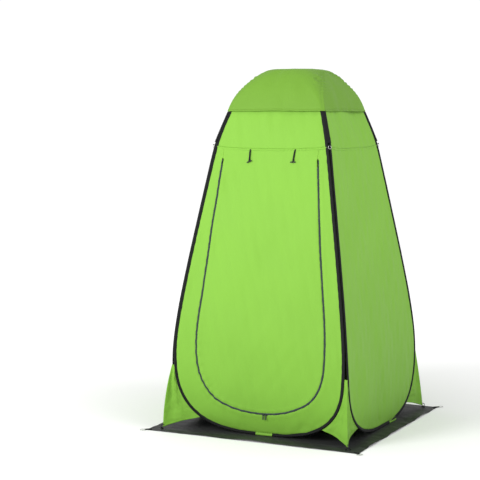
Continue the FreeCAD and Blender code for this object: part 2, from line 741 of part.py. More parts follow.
def main():
    os.makedirs("parts", exist_ok=True)

    sheet = Part.makeBox(SHEET_WIDTH, SHEET_DEPTH, SHEET_THICK,
                         V(-SHEET_WIDTH / 2, -SHEET_DEPTH / 2, 0))
    upright = [e for e in sheet.Edges if abs(e.tangentAt(e.FirstParameter).z) > 0.9]
    write("ground_sheet", sheet.makeFillet(SHEET_CORNER_R, upright))

    for side in SIDES:
        wire, sleeve = hoop_pieces(side)
        write("hoop_wire_" + side, wire)
        write("hoop_sleeve_" + side, sleeve)
        lower, band = wall_pieces(side)
        if side == "front":
            lower = lower.cut(inside_zip(ZIP_GAP + ZIP_TAPE - TAPE_BITE, DOOR_HINGE_Z + DOOR_GAP))
        write("wall_" + side, turned(lower, side))
        write("band_" + side, turned(band, side))

    slab = wall_slab("front", -FABRIC / 2.0, FABRIC / 2.0)
    thick_slab = wall_slab("front", -ZIP_THICK / 2.0, ZIP_THICK / 2.0)
    door_top = DOOR_HINGE_Z - DOOR_GAP
    write("door_panel", slab.common(inside_zip(-(ZIP_GAP + ZIP_TAPE - TAPE_BITE), door_top)))
    write("zip_tape_door", thick_slab.common(zip_band(-ZIP_GAP - ZIP_TAPE, -ZIP_GAP, door_top)))
    write("zip_tape_wall", thick_slab.common(zip_band(ZIP_GAP, ZIP_GAP + ZIP_TAPE, ZIP_TOP)))

    write("hoop_ferrules", Part.makeCompound([ferrule(side) for side in SIDES]))
    write("sleeve_patches", Part.makeCompound([patch(side) for side in SIDES]))

    for name in SLIDER_X:
        write("zip_slider_" + name, zip_slider(name))
        write("zip_pull_" + name, zip_pull(name))
        write("tie_strap_" + name, tie_strap(name))
        write("tie_toggle_" + name, toggle(name))

    for corner in CORNERS:
        write("gusset_" + corner, corner_turned(gusset(), corner))
        write("cap_strap_" + corner, corner_turned(cap_strap(), corner))
        write("strap_tab_" + corner, corner_turned(strap_tab(), corner))
        write("guy_ring_" + corner, corner_turned(guy_ring(), corner))
        write("sheet_ring_" + corner, corner_turned(sheet_ring(), corner))
    for name, shape in (("gusset_hooks", gusset_hook()), ("hook_bars", hook_bar()),
                        ("guy_tabs", guy_tab()), ("sheet_tabs", sheet_tab())):
        write(name, Part.makeCompound([corner_turned(shape, corner) for corner in CORNERS]))

    write("rain_cap", rain_cap())
    write("roof_mesh", roof_mesh())


main()
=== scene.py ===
import math

import bmesh
import bpy
import numpy as np
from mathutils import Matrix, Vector


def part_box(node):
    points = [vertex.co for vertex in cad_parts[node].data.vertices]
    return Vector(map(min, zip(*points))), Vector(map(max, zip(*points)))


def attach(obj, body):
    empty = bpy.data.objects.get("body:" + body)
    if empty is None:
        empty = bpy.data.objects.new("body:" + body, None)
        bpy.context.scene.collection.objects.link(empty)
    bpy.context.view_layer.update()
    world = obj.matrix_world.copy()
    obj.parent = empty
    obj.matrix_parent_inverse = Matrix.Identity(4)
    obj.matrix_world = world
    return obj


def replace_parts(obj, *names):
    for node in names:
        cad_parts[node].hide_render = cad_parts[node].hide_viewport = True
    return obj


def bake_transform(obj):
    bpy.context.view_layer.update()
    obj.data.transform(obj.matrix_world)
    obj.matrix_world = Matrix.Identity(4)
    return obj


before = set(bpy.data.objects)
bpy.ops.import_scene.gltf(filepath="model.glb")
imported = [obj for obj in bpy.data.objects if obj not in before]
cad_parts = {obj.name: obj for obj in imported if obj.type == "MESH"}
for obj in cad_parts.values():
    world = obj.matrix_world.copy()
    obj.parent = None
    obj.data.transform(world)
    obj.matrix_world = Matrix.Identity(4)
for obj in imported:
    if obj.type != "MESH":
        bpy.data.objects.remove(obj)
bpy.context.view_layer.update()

# Pop-up privacy shower tent. Metres, +Z up, front toward -Y.

# --- sizes
PROFILE = [(0.400, 0.499), (0.620, 0.476), (0.880, 0.435), (1.130, 0.392), (1.400, 0.345),
           (1.520, 0.323), (1.660, 0.276), (1.700, 0.263), (1.750, 0.244), (1.800, 0.216),
           (1.850, 0.178), (1.890, 0.132)]
FRONT_FOOT = [(-0.040, 0.441), (0.200, 0.484)]
SIDE_FOOT = [(-0.040, 0.500), (0.200, 0.501)]
HOOP_INSET = 0.0085
HOOP_LIFT = 0.0078
HOOP_TOP = 1.876
FOOT_TOP = 0.420
FOOT_POWER = 2.9
ARCH_START = 1.700
SEAM_Z = 1.480
ZIP_TOP = 1.420
ZIP_BOTTOM = 0.118
ZIP_ARC_R = 0.600
ZIP_ARC_HALF = 0.170
ZIP_SIDE = [(0.264, 0.183), (0.314, 0.235), (0.348, 0.300), (0.365, 0.380), (0.368, 0.490),
            (0.357, 0.620), (0.333, 0.820), (0.314, 1.010), (0.299, 1.140), (0.271, 1.425)]
ZIP_EDGE = 0.0045               # cloth stops this far from the middle of the zip, under the tape
CLOTH = 0.0007
SIDES = {"front": 0, "right": 1, "back": 2, "left": 3}      # quarter turns about Z
CORNERS = {"fr": (1, -1), "br": (1, 1), "bl": (-1, 1), "fl": (-1, -1)}
TIP = (0.527, 0.546, 0.015)     # outer tip of a corner gusset
CAP_TOP = 1.890
CAP_SECTIONS = [(0.222, 0.2825, 0.024), (0.180, 0.2705, 0.028), (0.140, 0.2560, 0.042),
                (0.100, 0.2360, 0.066), (0.060, 0.2080, 0.088), (0.033, 0.1850, 0.100),
                (0.014, 0.1620, 0.108), (0.006, 0.1480, 0.108), (0.001, 0.1240, 0.100)]
ZIP_SHIFT = 0.010               # the U of the zip leans to the right at its foot
GUSSET_TOP = 0.342
SHEET_X, SHEET_Y = 1.204, 1.184
ROOT2 = math.sqrt(2.0)


# --- numbers and curves
def smooth(low, high, value):
    t = np.clip((np.asarray(value, float) - low) / (high - low), 0.0, 1.0)
    return t * t * (3.0 - 2.0 * t)


def chaikin(points, times):
    """Corner cutting that keeps the ends of an open line."""
    p = np.array(points, float)
    for _ in range(times):
        a, b = p[:-1], p[1:]
        cut = np.empty((2 * len(a), p.shape[1]))
        cut[0::2] = 0.75 * a + 0.25 * b
        cut[1::2] = 0.25 * a + 0.75 * b
        p = np.vstack([p[:1], cut[1:-1], p[-1:]])
    return p


def run_length(points):
    return np.concatenate([[0.0], np.cumsum(np.linalg.norm(np.diff(points, axis=0), axis=1))])


def at_shares(points, shares):
    """Points of a line at shares of its length."""
    s = run_length(points)
    at = s[-1] * shares
    return np.stack([np.interp(at, s, points[:, k]) for k in range(points.shape[1])], axis=1)


def resample(points, step):
    """Points an even distance apart along a line."""
    s = run_length(points)
    count = max(2, int(round(s[-1] / step)) + 1)
    at = np.linspace(0.0, s[-1], count)
    return np.stack([np.interp(at, s, points[:, k]) for k in range(points.shape[1])], axis=1)


def waves(a, b, size, seed):
    """Smooth random relief of about -1 to 1, from sines of mixed direction and length."""
    count = 6
    rng = np.random.default_rng(seed)
    total = np.zeros(np.broadcast(a, b).shape)
    for _ in range(count):
        turn = rng.uniform(0.0, math.pi)
        scale = size * rng.uniform(0.7, 1.5)
        phase = rng.uniform(0.0, 2.0 * math.pi)
        total += np.sin((a * math.cos(turn) + b * math.sin(turn)) * 2.0 * math.pi / scale + phase)
    return total / math.sqrt(count)


# --- the walls' shape
SLOPE = {side: chaikin(foot + PROFILE, 4)
         for side, foot in (("front", FRONT_FOOT), ("back", FRONT_FOOT),
                            ("left", SIDE_FOOT), ("right", SIDE_FOOT))}


def half_width(z, side="front"):
    line = SLOPE[side]
    return np.interp(z, line[:, 0], line[:, 1])


def hoop_half():
    """Half of a hoop's centre line, bottom middle to top middle, as (x, z)."""
    foot_height = FOOT_TOP - HOOP_LIFT
    foot_width = half_width(FOOT_TOP) - HOOP_INSET
    points = [(0.0, HOOP_LIFT), (0.1, HOOP_LIFT)]
    for share in (0.35, 0.50, 0.62, 0.73, 0.82, 0.895, 0.95, 0.985):
        drop = (1.0 - share ** FOOT_POWER) ** (1.0 / FOOT_POWER)
        points.append((foot_width * share, FOOT_TOP - foot_height * drop))
    for z in (0.42, 0.54, 0.68, 0.82, 0.96, 1.10, 1.24, 1.38, 1.50, 1.59, 1.65, 1.70):
        points.append((half_width(z) - HOOP_INSET, z))
    for share in (0.27, 0.48, 0.66, 0.80, 0.91, 0.98):
        z = ARCH_START + (HOOP_TOP - ARCH_START) * share
        points.append(((half_width(z) - HOOP_INSET) * math.sqrt(1.0 - share ** 2), z))
    points.append((0.0, points[-1][1]))
    return points


HALF = resample(chaikin(hoop_half(), 4), 0.004)
RING = np.vstack([HALF[:-1], np.stack([-HALF[::-1, 0], HALF[::-1, 1]], axis=1)[:-1]])
ZIP_HALF_POINTS = ([(ZIP_ARC_R * math.sin(t), ZIP_BOTTOM + ZIP_ARC_R * (1.0 - math.cos(t)))
                    for t in np.linspace(0.0, math.asin(ZIP_ARC_HALF / ZIP_ARC_R), 12)]
                   + ZIP_SIDE)



def evened(line, count):
    """A line with its bends spread over more points; its ends stay put."""
    first = 2.0 * line[0] - line[count:0:-1]
    last = 2.0 * line[-1] - line[-2:-count - 2:-1]
    padded = np.vstack([first, line, last])
    kernel = np.hanning(2 * count + 3)[1:-1]
    kernel /= kernel.sum()
    return np.stack([np.convolve(padded[:, k], kernel, "valid") for k in (0, 1)], axis=1)


ZIP_HALF = evened(resample(chaikin(ZIP_HALF_POINTS, 3), 0.002), 18)


def hoop_x(z):
    """Half width of a hoop's centre line at a height."""
    return np.interp(z, HALF[:, 1], HALF[:, 0])


def outward(line, distance):
    """A line in XZ moved to the right of its direction of travel."""
    d = np.gradient(line, axis=0)
    d /= np.linalg.norm(d, axis=1)[:, None]
    return line + np.stack([d[:, 1], -d[:, 0]], axis=1) * distance


def to_line(line, x, z):
    """Distance from points to a line in XZ, and how far along the line they are."""
    s = run_length(line)
    shape = np.shape(x)
    points = np.stack([np.ravel(x), np.ravel(z)], axis=1)
    near = np.empty(len(points))
    along = np.empty(len(points))
    for start in range(0, len(points), 4000):
        part = points[start:start + 4000]
        gap = np.linalg.norm(part[:, None, :] - line[None, :, :], axis=2)
        best = gap.argmin(axis=1)
        near[start:start + 4000] = gap[np.arange(len(part)), best]
        along[start:start + 4000] = s[best]
    return near.reshape(shape), along.reshape(shape)


COARSE_HALF = HALF[::2]
COARSE_ZIP = ZIP_HALF[::3]


# Heights of the walls' wrinkles.
SLACK, CREASE, HOLLOW = 0.0032, 0.0011, 0.005
SEAM_GATHER, CORNER_FAN, EDGE_PUCKER, EDGE_RIDGE, FOOT_FOLD = 0.0009, 0.0016, 0.0011, 0.0014, 0.0012
ZIP_PUCKER, ZIP_RIDGE, ZIP_END_TUCK, ZIP_KNEE, DOOR_STREAK = 0.0011, 0.0016, 0.0022, 0.0035, 0.0010


def relief(side, x, z):
    """How far the cloth stands proud of the plain wall: slack, wrinkles and puckers."""
    seed = 10 * SIDES[side]
    across = x / np.maximum(hoop_x(z), 0.05)
    edge, edge_s = to_line(COARSE_HALF, np.abs(x), z)
    free = smooth(0.004, 0.05, edge)
    hand = np.where(x < 0, -1.0, 1.0)
    out = SLACK * waves(x, z, 0.34, seed + 1) * free
    out += CREASE * waves(x * 1.6, z * 0.6, 0.11, seed + 2) * free
    out -= HOLLOW * np.clip(1.0 - across ** 2, 0.0, 1.0) * smooth(0.02, 0.4, z)
    seam = seam_height(across)
    below = np.clip(seam - z, 0.0, 1.0)
    above = np.clip(z - seam, 0.0, 1.0)
    pull = np.exp(-below / 0.045) * np.exp(-above / 0.02)
    fine = np.sin(2 * math.pi * x / 0.021 + 2.2 * waves(x, z, 0.09, seed + 3))
    out += SEAM_GATHER * pull * fine * smooth(-0.4, 1.2, waves(x, 0.0 * z, 0.13, seed + 4)) * free
    # folds that run from the seam's corners into the panel
    fan = np.arctan2(np.abs(seam - z) + 0.001, hoop_x(z) - np.abs(x) + 0.004)
    reach = np.hypot(seam - z, hoop_x(z) - np.abs(x))
    out += (CORNER_FAN * np.exp(-reach / 0.07) * np.sin(11.0 * fan + seed + hand) * free)
    # puckers beside the hoop's binding
    ripple = np.sin(2 * math.pi * edge_s / 0.052 + 2.5 * waves(edge_s, hand, 0.3, seed + 5))
    out += EDGE_PUCKER * np.exp(-np.clip(edge - 0.012, 0, 1) / 0.022) * ripple * free
    # rolled fold above the binding along the foot
    foot = smooth(0.12, 0.05, z) * smooth(0.0, 0.3, 0.42 - np.abs(x))
    out += FOOT_FOLD * foot * np.exp(-((edge - 0.024) / 0.010) ** 2)
    out += EDGE_RIDGE * np.exp(-((edge - 0.0170) / 0.0038) ** 2) * smooth(0.6, 0.2, z)
    if side == "front":
        near, along = to_line(COARSE_ZIP, np.abs(x), z)
        slack = 1.0 + 1.3 * smooth(0.0, -0.1, x) * smooth(0.65, 0.35, z) * smooth(0.1, 0.2, z)
        pucker = np.sin(2 * math.pi * along / 0.047 + 2.4 * waves(along, hand, 0.25, 71))
        out += ZIP_PUCKER * slack * pucker * np.exp(-near / 0.026)
        out += ZIP_RIDGE * np.exp(-((near - 0.016) / 0.012) ** 2) * (0.5 + 0.5 * slack)
        low = smooth(0.75, 0.3, z) * smooth(0.03, 0.1, near) * smooth(0.37, 0.3, np.abs(x))
        streak = np.sin(2 * math.pi * (x * 0.8 - z * 0.6) / 0.085 + waves(x, z, 0.3, 72))
        out += DOOR_STREAK * low * streak * smooth(-0.2, 0.3, x)
        top_gap = np.hypot(np.abs(x) - ZIP_SIDE[-1][0], z - ZIP_TOP - 0.010)
        out += ZIP_END_TUCK * np.exp(-(top_gap / 0.011) ** 2)
        knee = np.exp(-(np.hypot(x + 0.300, (z - 0.245) * 0.7) / 0.045) ** 2)
        out += ZIP_KNEE * knee * np.exp(-((near - 0.018) / 0.012) ** 2)
    return out


def quarter(points, turns):
    """Points turned about Z by quarter turns."""
    p = np.array(points, float)
    for _ in range(turns % 4):
        p = np.stack([-p[..., 1], p[..., 0], p[..., 2]], axis=-1)
    return p


def wall_normal(z, side):
    lean = (half_width(z + 0.002, side) - half_width(z - 0.002, side)) / 0.004
    size = np.sqrt(1.0 + lean ** 2)
    return np.stack([np.zeros_like(lean), -1.0 / size, -lean / size], axis=-1)


def on_wall(side, x, z, out=0.0, wrinkled=True):
    """Points on a wall, from x across it and height z, in the tent's frame."""
    x, z = np.broadcast_arrays(np.asarray(x, float), np.asarray(z, float))
    proud = out + (relief(side, x, z) if wrinkled else 0.0)
    if side == "front":
        inner = smooth(1.0, 0.80, np.abs(x) / np.maximum(hoop_x(z), 0.05))
        x = x + ZIP_SHIFT * inner * smooth(0.13, 0.26, z) * smooth(1.15, 0.55, z)
    base = np.stack([x, -half_width(z, side), z], axis=-1)
    base = base + wall_normal(z, side) * np.asarray(proud)[..., None]
    return quarter(base, SIDES[side])


def seam_height(across):
    """Seam's height: highest at the corners, sagging in the middle."""
    return SEAM_Z - 0.005 + 0.013 * across ** 4


# --- mesh helpers
def new_object(name, vertices, faces, material, body):
    mesh = bpy.data.meshes.new(name)
    mesh.from_pydata([tuple(v) for v in vertices], [], faces)
    mesh.validate()
    form = bmesh.new()
    form.from_mesh(mesh)
    bmesh.ops.recalc_face_normals(form, faces=form.faces)
    form.to_mesh(mesh)
    form.free()
    mesh.update()
    mesh.polygons.foreach_set("use_smooth", [True] * len(mesh.polygons))
    obj = bpy.data.objects.new(name, mesh)
    bpy.context.scene.collection.objects.link(obj)
    obj.data.materials.append(material)
    if body:
        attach(obj, body)
    return obj


def grid_faces(rows, columns, wrap):
    faces = []
    last = columns if wrap else columns - 1
    for i in range(rows - 1):
        for j in range(last):
            k = (j + 1) % columns
            low, high = i * columns, (i + 1) * columns
            faces.append((low + j, low + k, high + k, high + j))
    return faces


def grid_normals(grid, wrap=False):
    if wrap:
        across = np.roll(grid, -1, axis=1) - np.roll(grid, 1, axis=1)
    else:
        across = np.gradient(grid, axis=1)
    along = np.gradient(grid, axis=0)
    n = np.cross(across, along)
    size = np.linalg.norm(n, axis=2)
    size[size < 1e-12] = 1.0
    return n / size[..., None]


def grid_area(grid, wrap=False):
    g = np.concatenate([grid, grid[:, :1]], axis=1) if wrap else grid
    a = np.cross(g[1:, 1:] - g[:-1, :-1], g[:-1, 1:] - g[1:, :-1])
    return float(0.5 * np.linalg.norm(a, axis=2).sum())


def cloth_sheet(name, grid, thick, material, body, wrap=False):
    """A closed sheet of even thickness on a grid of points."""
    n = grid_normals(grid, wrap)
    rows, columns = grid.shape[:2]
    outer = (grid + n * thick / 2.0).reshape(-1, 3)
    inner = (grid - n * thick / 2.0).reshape(-1, 3)
    size = rows * columns
    faces = grid_faces(rows, columns, wrap)
    faces += [tuple(size + v for v in reversed(f)) for f in faces]
    rims = [[(0, j) for j in range(columns)], [(rows - 1, j) for j in range(columns)][::-1]]
    if wrap:
        rims = [rim + rim[:1] for rim in rims]
    else:
        rims += [[(i, columns - 1) for i in range(rows)], [(i, 0) for i in range(rows)][::-1]]
    for rim in rims:
        for (i, j), (k, m) in zip(rim[:-1], rim[1:]):
            a, b = i * columns + j, k * columns + m
            faces.append((b, a, size + a, size + b))
    return new_object(name, np.vstack([outer, inner]), faces, material, body)


def sweep(name, centre, right, up, section, material, body, closed=False):
    """A tube: a closed section, in (right, up) distances, carried along a line of points.
    section is one list of points, or one for each point of the line."""
    count = len(centre)
    section = np.asarray(section, float)
    if section.ndim == 2:
        section = np.broadcast_to(section, (count,) + section.shape)
    m = section.shape[1]
    grid = (centre[:, None, :] + right[:, None, :] * section[..., :1]
            + up[:, None, :] * section[..., 1:])
    vertices = grid.reshape(-1, 3)
    faces = grid_faces(count, m, wrap=True)
    if closed:
        faces += [((count - 1) * m + j, (count - 1) * m + (j + 1) % m, (j + 1) % m, j)
                  for j in range(m)]
    else:
        faces += [tuple(range(m))[::-1], tuple((count - 1) * m + j for j in range(m))]
    return new_object(name, vertices, faces, material, body)


def unit(v):
    v = np.asarray(v, float)
    return v / np.linalg.norm(v, axis=-1, keepdims=True)


def rounded_strip(width, thick):
    """Section of a strap: a flat bar with soft edges."""
    half, t = width / 2.0, thick / 2.0
    c = min(half, t) * 0.45
    return [(half - c, -t), (half, -t + c), (half, t - c), (half - c, t), (0.0, t),
            (-half + c, t), (-half, t - c), (-half, -t + c), (-half + c, -t), (0.0, -t)]


def ribbon(name, points, face_out, width, thick, material, body,
           widths=((0.0, 1.0), (1.0, 1.0))):
    """A strap of webbing along a smooth line, its flat side toward face_out."""
    line = resample(chaikin(points, 3), 0.003)
    run = unit(np.gradient(line, axis=0))
    out = np.broadcast_to(np.asarray(face_out, float), line.shape)
    across = unit(np.cross(run, out))
    up = unit(np.cross(across, run))
    share = run_length(line) / run_length(line)[-1]
    scale = np.interp(share, [w[0] for w in widths], [w[1] for w in widths])
    section = np.array(rounded_strip(width, thick))[None] * np.stack(
        [scale, np.ones_like(scale)], axis=1)[:, None, :]
    return sweep(name, line, across, up, section, material, body)


def join(name, pieces, body):
    """Several meshes as one piece."""
    vertices, faces = [], []
    for piece in pieces:
        start = len(vertices)
        vertices += [tuple(v.co) for v in piece.data.vertices]
        faces += [tuple(start + v for v in p.vertices) for p in piece.data.polygons]
    material = pieces[0].data.materials[0]
    for piece in pieces:
        bpy.data.objects.remove(piece)
    return new_object(name, vertices, faces, material, body)


# --- materials
def tree(name):
    material = bpy.data.materials.new(name)
    material.use_nodes = True
    nodes = material.node_tree.nodes
    return material, nodes, material.node_tree.links, nodes["Principled BSDF"]


def math_node(nodes, links, operation, a, b=None, clamp=False):
    node = nodes.new("ShaderNodeMath")
    node.operation = operation
    node.use_clamp = clamp
    for socket, value in zip(node.inputs, (a, b)):
        if value is None:
            continue
        if isinstance(value, (int, float)):
            socket.default_value = value
        else:
            links.new(value, socket)
    return node.outputs[0]


def noise_node(nodes, links, vector, scale, detail=3.0, roughness=0.5):
    node = nodes.new("ShaderNodeTexNoise")
    node.inputs["Scale"].default_value = scale
    node.inputs["Detail"].default_value = detail
    node.inputs["Roughness"].default_value = roughness
    links.new(vector, node.inputs["Vector"])
    return node.outputs["Fac"]


def blend_colour(nodes, links, factor, dark, light):
    node = nodes.new("ShaderNodeMix")
    node.data_type = "RGBA"
    links.new(factor, node.inputs["Factor"])
    node.inputs[6].default_value = (*dark, 1.0)
    node.inputs[7].default_value = (*light, 1.0)
    return node.outputs[2]


def bump_node(nodes, links, height, strength, distance, below=None):
    """A bump from a height, on top of the normal below it."""
    node = nodes.new("ShaderNodeBump")
    node.inputs["Strength"].default_value = strength
    node.inputs["Distance"].default_value = distance
    links.new(height, node.inputs["Height"])
    if below is not None:
        links.new(below, node.inputs["Normal"])
    return node.outputs[0]


def ramp_node(nodes, links, value, start, end, first, last):
    """A number that goes from first to last as value goes from start to end."""
    node = nodes.new("ShaderNodeMapRange")
    for socket, number in (("From Min", start), ("From Max", end), ("To Min", first),
                           ("To Max", last)):
        node.inputs[socket].default_value = number
    links.new(value, node.inputs["Value"])
    return node.outputs[0]


def scaled(colour, share):
    return tuple(min(1.0, c * share) for c in colour)


def cloth_material(name, colour, roughness=0.62, weave=0.0011, depth=0.12, sheen=0.05,
                   mottle=0.06, crumple=0.28, crumple_size=26.0, flat=False, specular=0.22,
                   painted_foot_shade=0.0):
    """Woven cloth: threads crossing, soft mottling, fine crumples, and optional painted shade that
    darkens the colour toward the foot.
    """
    material, nodes, links, shader = tree(name)
    place = nodes.new("ShaderNodeTexCoord").outputs["Object"]
    split = nodes.new("ShaderNodeSeparateXYZ")
    links.new(place, split.inputs[0])
    x, y, z = split.outputs
    if flat:
        warp, weft = x, y
    else:
        warp, weft = math_node(nodes, links, "ADD", x, y), z
    turns = 2.0 * math.pi / weave
    a = math_node(nodes, links, "SINE", math_node(nodes, links, "MULTIPLY", warp, turns))
    b = math_node(nodes, links, "SINE", math_node(nodes, links, "MULTIPLY", weft, turns))
    threads = math_node(nodes, links, "MULTIPLY", a, b)
    broad = noise_node(nodes, links, place, 2.6, 3.0)
    grain = noise_node(nodes, links, place, 900.0, 2.0)
    share = math_node(nodes, links, "MULTIPLY_ADD", threads, 0.10)
    share.node.inputs[2].default_value = 0.0
    tone = math_node(nodes, links, "ADD", math_node(nodes, links, "MULTIPLY", broad, 0.9),
                     math_node(nodes, links, "MULTIPLY", grain, 0.35))
    tone = math_node(nodes, links, "ADD", tone, share)
    tone = math_node(nodes, links, "SUBTRACT", tone, 0.12, clamp=True)
    tinted = blend_colour(nodes, links, tone, scaled(colour, 1.0 - mottle),
                          scaled(colour, 1.0 + mottle))
    colour_out = tinted
    # Painted shade: the colour darkens by up to this share toward the foot, standing in for less
    # light low on the walls.
    if painted_foot_shade:
        foot = ramp_node(nodes, links, z, 0.05, 1.0, painted_foot_shade, 0.0)
        colour_out = blend_colour(nodes, links, foot, colour, (0.0, 0.0, 0.0))
        links.new(tinted, colour_out.node.inputs[6])
    links.new(colour_out, shader.inputs["Base Color"])
    shine = math_node(nodes, links, "MULTIPLY_ADD", broad, 0.12)
    shine.node.inputs[2].default_value = roughness - 0.06
    links.new(shine, shader.inputs["Roughness"])
    shader.inputs["Sheen Weight"].default_value = sheen
    shader.inputs["Sheen Roughness"].default_value = 0.45
    shader.inputs["Specular IOR Level"].default_value = specular
    crumples = noise_node(nodes, links, place, crumple_size, 4.0, 0.55)
    folds = bump_node(nodes, links, crumples, crumple, 0.004)
    links.new(bump_node(nodes, links, threads, depth, 0.0004, folds), shader.inputs["Normal"])
    return material


def webbing_material(name, colour, pitch=0.0016):
    """Narrow woven tape: diagonal ribs and a little lint."""
    material, nodes, links, shader = tree(name)
    place = nodes.new("ShaderNodeTexCoord").outputs["Object"]
    ribs = nodes.new("ShaderNodeTexWave")
    ribs.wave_type = "BANDS"
    ribs.bands_direction = "DIAGONAL"
    ribs.inputs["Scale"].default_value = 0.314 / pitch
    ribs.inputs["Distortion"].default_value = 0.6
    ribs.inputs["Detail"].default_value = 1.0
    links.new(place, ribs.inputs["Vector"])
    lint = noise_node(nodes, links, place, 300.0, 4.0)
    ribs_half = math_node(nodes, links, "MULTIPLY", ribs.outputs["Fac"], 0.5)
    lint_half = math_node(nodes, links, "MULTIPLY", lint, 0.5)
    tone = math_node(nodes, links, "ADD", ribs_half, lint_half)
    links.new(blend_colour(nodes, links, tone, scaled(colour, 0.65), scaled(colour, 1.45)),
              shader.inputs["Base Color"])
    shader.inputs["Roughness"].default_value = 0.72
    shader.inputs["Sheen Weight"].default_value = 0.03
    shader.inputs["Specular IOR Level"].default_value = 0.25
    links.new(bump_node(nodes, links, tone, 0.5, 0.0005), shader.inputs["Normal"])
    return material


def hard_material(name, colour, metallic, roughness):
    """Metal or moulded plastic with handling marks."""
    material, nodes, links, shader = tree(name)
    place = nodes.new("ShaderNodeTexCoord").outputs["Object"]
    marks = noise_node(nodes, links, place, 180.0, 5.0, 0.6)
    links.new(blend_colour(nodes, links, marks, scaled(colour, 0.75), scaled(colour, 1.25)),
              shader.inputs["Base Color"])
    shine = math_node(nodes, links, "MULTIPLY_ADD", marks, 0.2)
    shine.node.inputs[2].default_value = roughness - 0.1
    links.new(shine, shader.inputs["Roughness"])
    shader.inputs["Metallic"].default_value = metallic
    links.new(bump_node(nodes, links, marks, 0.15, 0.0004), shader.inputs["Normal"])
    return material


LIME = (0.222, 0.490, 0.050)
# Painted shade: the cap is the walls' lime darkened, standing in for less light shining through the
# cap than through the walls.
SHADED_CAP_LIME = (0.160, 0.345, 0.032)
MAT = {
    # The walls carry up to 10% painted shade toward the foot.
    "wall": cloth_material("wall_cloth", LIME, painted_foot_shade=0.10),
    "cap": cloth_material("cap_cloth", SHADED_CAP_LIME, crumple=0.3),
    "mesh": cloth_material("vent_mesh", (0.09, 0.17, 0.03), weave=0.0030, depth=0.8, mottle=0.25),
    "binding": webbing_material("binding", (0.004, 0.005, 0.005)),
    "webbing": webbing_material("webbing", (0.004, 0.005, 0.005), 0.0012),
    "patch": cloth_material("patch_cloth", LIME, crumple=0.5, crumple_size=70.0),
    "groundsheet": cloth_material("groundsheet_cloth", (0.013, 0.015, 0.015), roughness=0.5,
                                  weave=0.0022, depth=0.25, sheen=0.06, mottle=0.30,
                                  crumple=0.7, crumple_size=11.0, flat=True, specular=0.3),
    "tape": webbing_material("zip_tape", (0.045, 0.062, 0.062), 0.0012),
    "slider": hard_material("slider_metal", (0.05, 0.06, 0.06), 0.7, 0.42),
    "plastic": hard_material("black_plastic", (0.016, 0.016, 0.017), 0.0, 0.45),
    "ring": hard_material("ring_steel", (0.62, 0.62, 0.60), 1.0, 0.32),
    "steel": hard_material("spring_steel", (0.38, 0.38, 0.40), 1.0, 0.38),
}


# --- walls
def level_rows(low, high):
    """Heights of a panel's rows: even along the hoop, but no nearer than least in height."""
    step, least = 0.008, 0.0010
    inside = HALF[(HALF[:, 1] >= low) & (HALF[:, 1] <= high)]
    inside = np.vstack([[float(hoop_x(low)), low], inside, [float(hoop_x(high)), high]])
    heights = [low]
    for _, z in resample(inside, step):
        if z - heights[-1] >= least and high - z >= least / 2.0:
            heights.append(z)
    return np.array(heights + [high])


def with_seam(x_share, z):
    """Rows near the seam follow its sag."""
    bell = smooth(1.42, SEAM_Z, z) * smooth(1.60, SEAM_Z, z)
    return z + (seam_height(x_share) - SEAM_Z) * bell


def wall_grids(side, share, x, z):
    """A panel's wrinkled grid of points, and its area without the wrinkles.
    share is how far across the wall each point is, from -1 to 1 at the hoops."""
    height = with_seam(share, z)
    flat = on_wall(side, x, height, wrinkled=False)
    return on_wall(side, x, height), grid_area(flat)


def full_panel(name, side, low, high, columns=123):
    z = level_rows(low, high)[:, None]
    share = np.linspace(-1.0, 1.0, columns)[None, :]
    grid, area = wall_grids(side, share, share * hoop_x(z), z + 0.0 * share)
    obj = cloth_sheet(name, grid, CLOTH, MAT["wall"], "tent")
    return obj


for side in SIDES:
    upper = full_panel("band_cloth_" + side, side, SEAM_Z, HOOP_TOP - 0.003, columns=91)
    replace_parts(upper, "band_" + side)
    if side != "front":
        lower = full_panel("wall_cloth_" + side, side, HOOP_LIFT + 0.001, SEAM_Z)
        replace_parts(lower, "wall_" + side)


ABOVE_ZIP = np.linspace(ZIP_TOP, SEAM_Z, 9)[1:]


def closed_above(edge):
    """A zip edge carried on up to the seam, where the two cloths meet in one line."""
    x = np.interp(ABOVE_ZIP, [ZIP_TOP, ZIP_TOP + 0.006], [edge[-1, 0], ZIP_SIDE[-1][0]])
    return np.vstack([edge, np.stack([x, ABOVE_ZIP], axis=1)])


def front_wall():
    """Cloth between the zip and the hoop, up to the seam."""
    line = outward(ZIP_HALF, ZIP_EDGE)
    line[0, 0] = 0.0
    inner = resample(line[line[:, 1] <= ZIP_TOP], 0.008)
    outer = at_shares(HALF[HALF[:, 1] <= ZIP_TOP], np.linspace(0.0, 1.0, len(inner)))
    outer = np.vstack([outer, np.stack([hoop_x(ABOVE_ZIP), ABOVE_ZIP], axis=1)])
    inner = closed_above(inner)
    mirror = np.array([-1.0, 1.0])
    inner = np.vstack([inner[:0:-1] * mirror, inner])
    outer = np.vstack([outer[:0:-1] * mirror, outer])
    share = np.linspace(0.0, 1.0, 25)[None, :, None]
    place = inner[:, None, :] * (1.0 - share) + outer[:, None, :] * share
    x, z = place[..., 0], place[..., 1]
    grid, area = wall_grids("front", x / hoop_x(z), x, z)
    obj = cloth_sheet("wall_cloth_front", grid, CLOTH, MAT["wall"], "tent")
    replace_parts(obj, "wall_front")


front_wall()


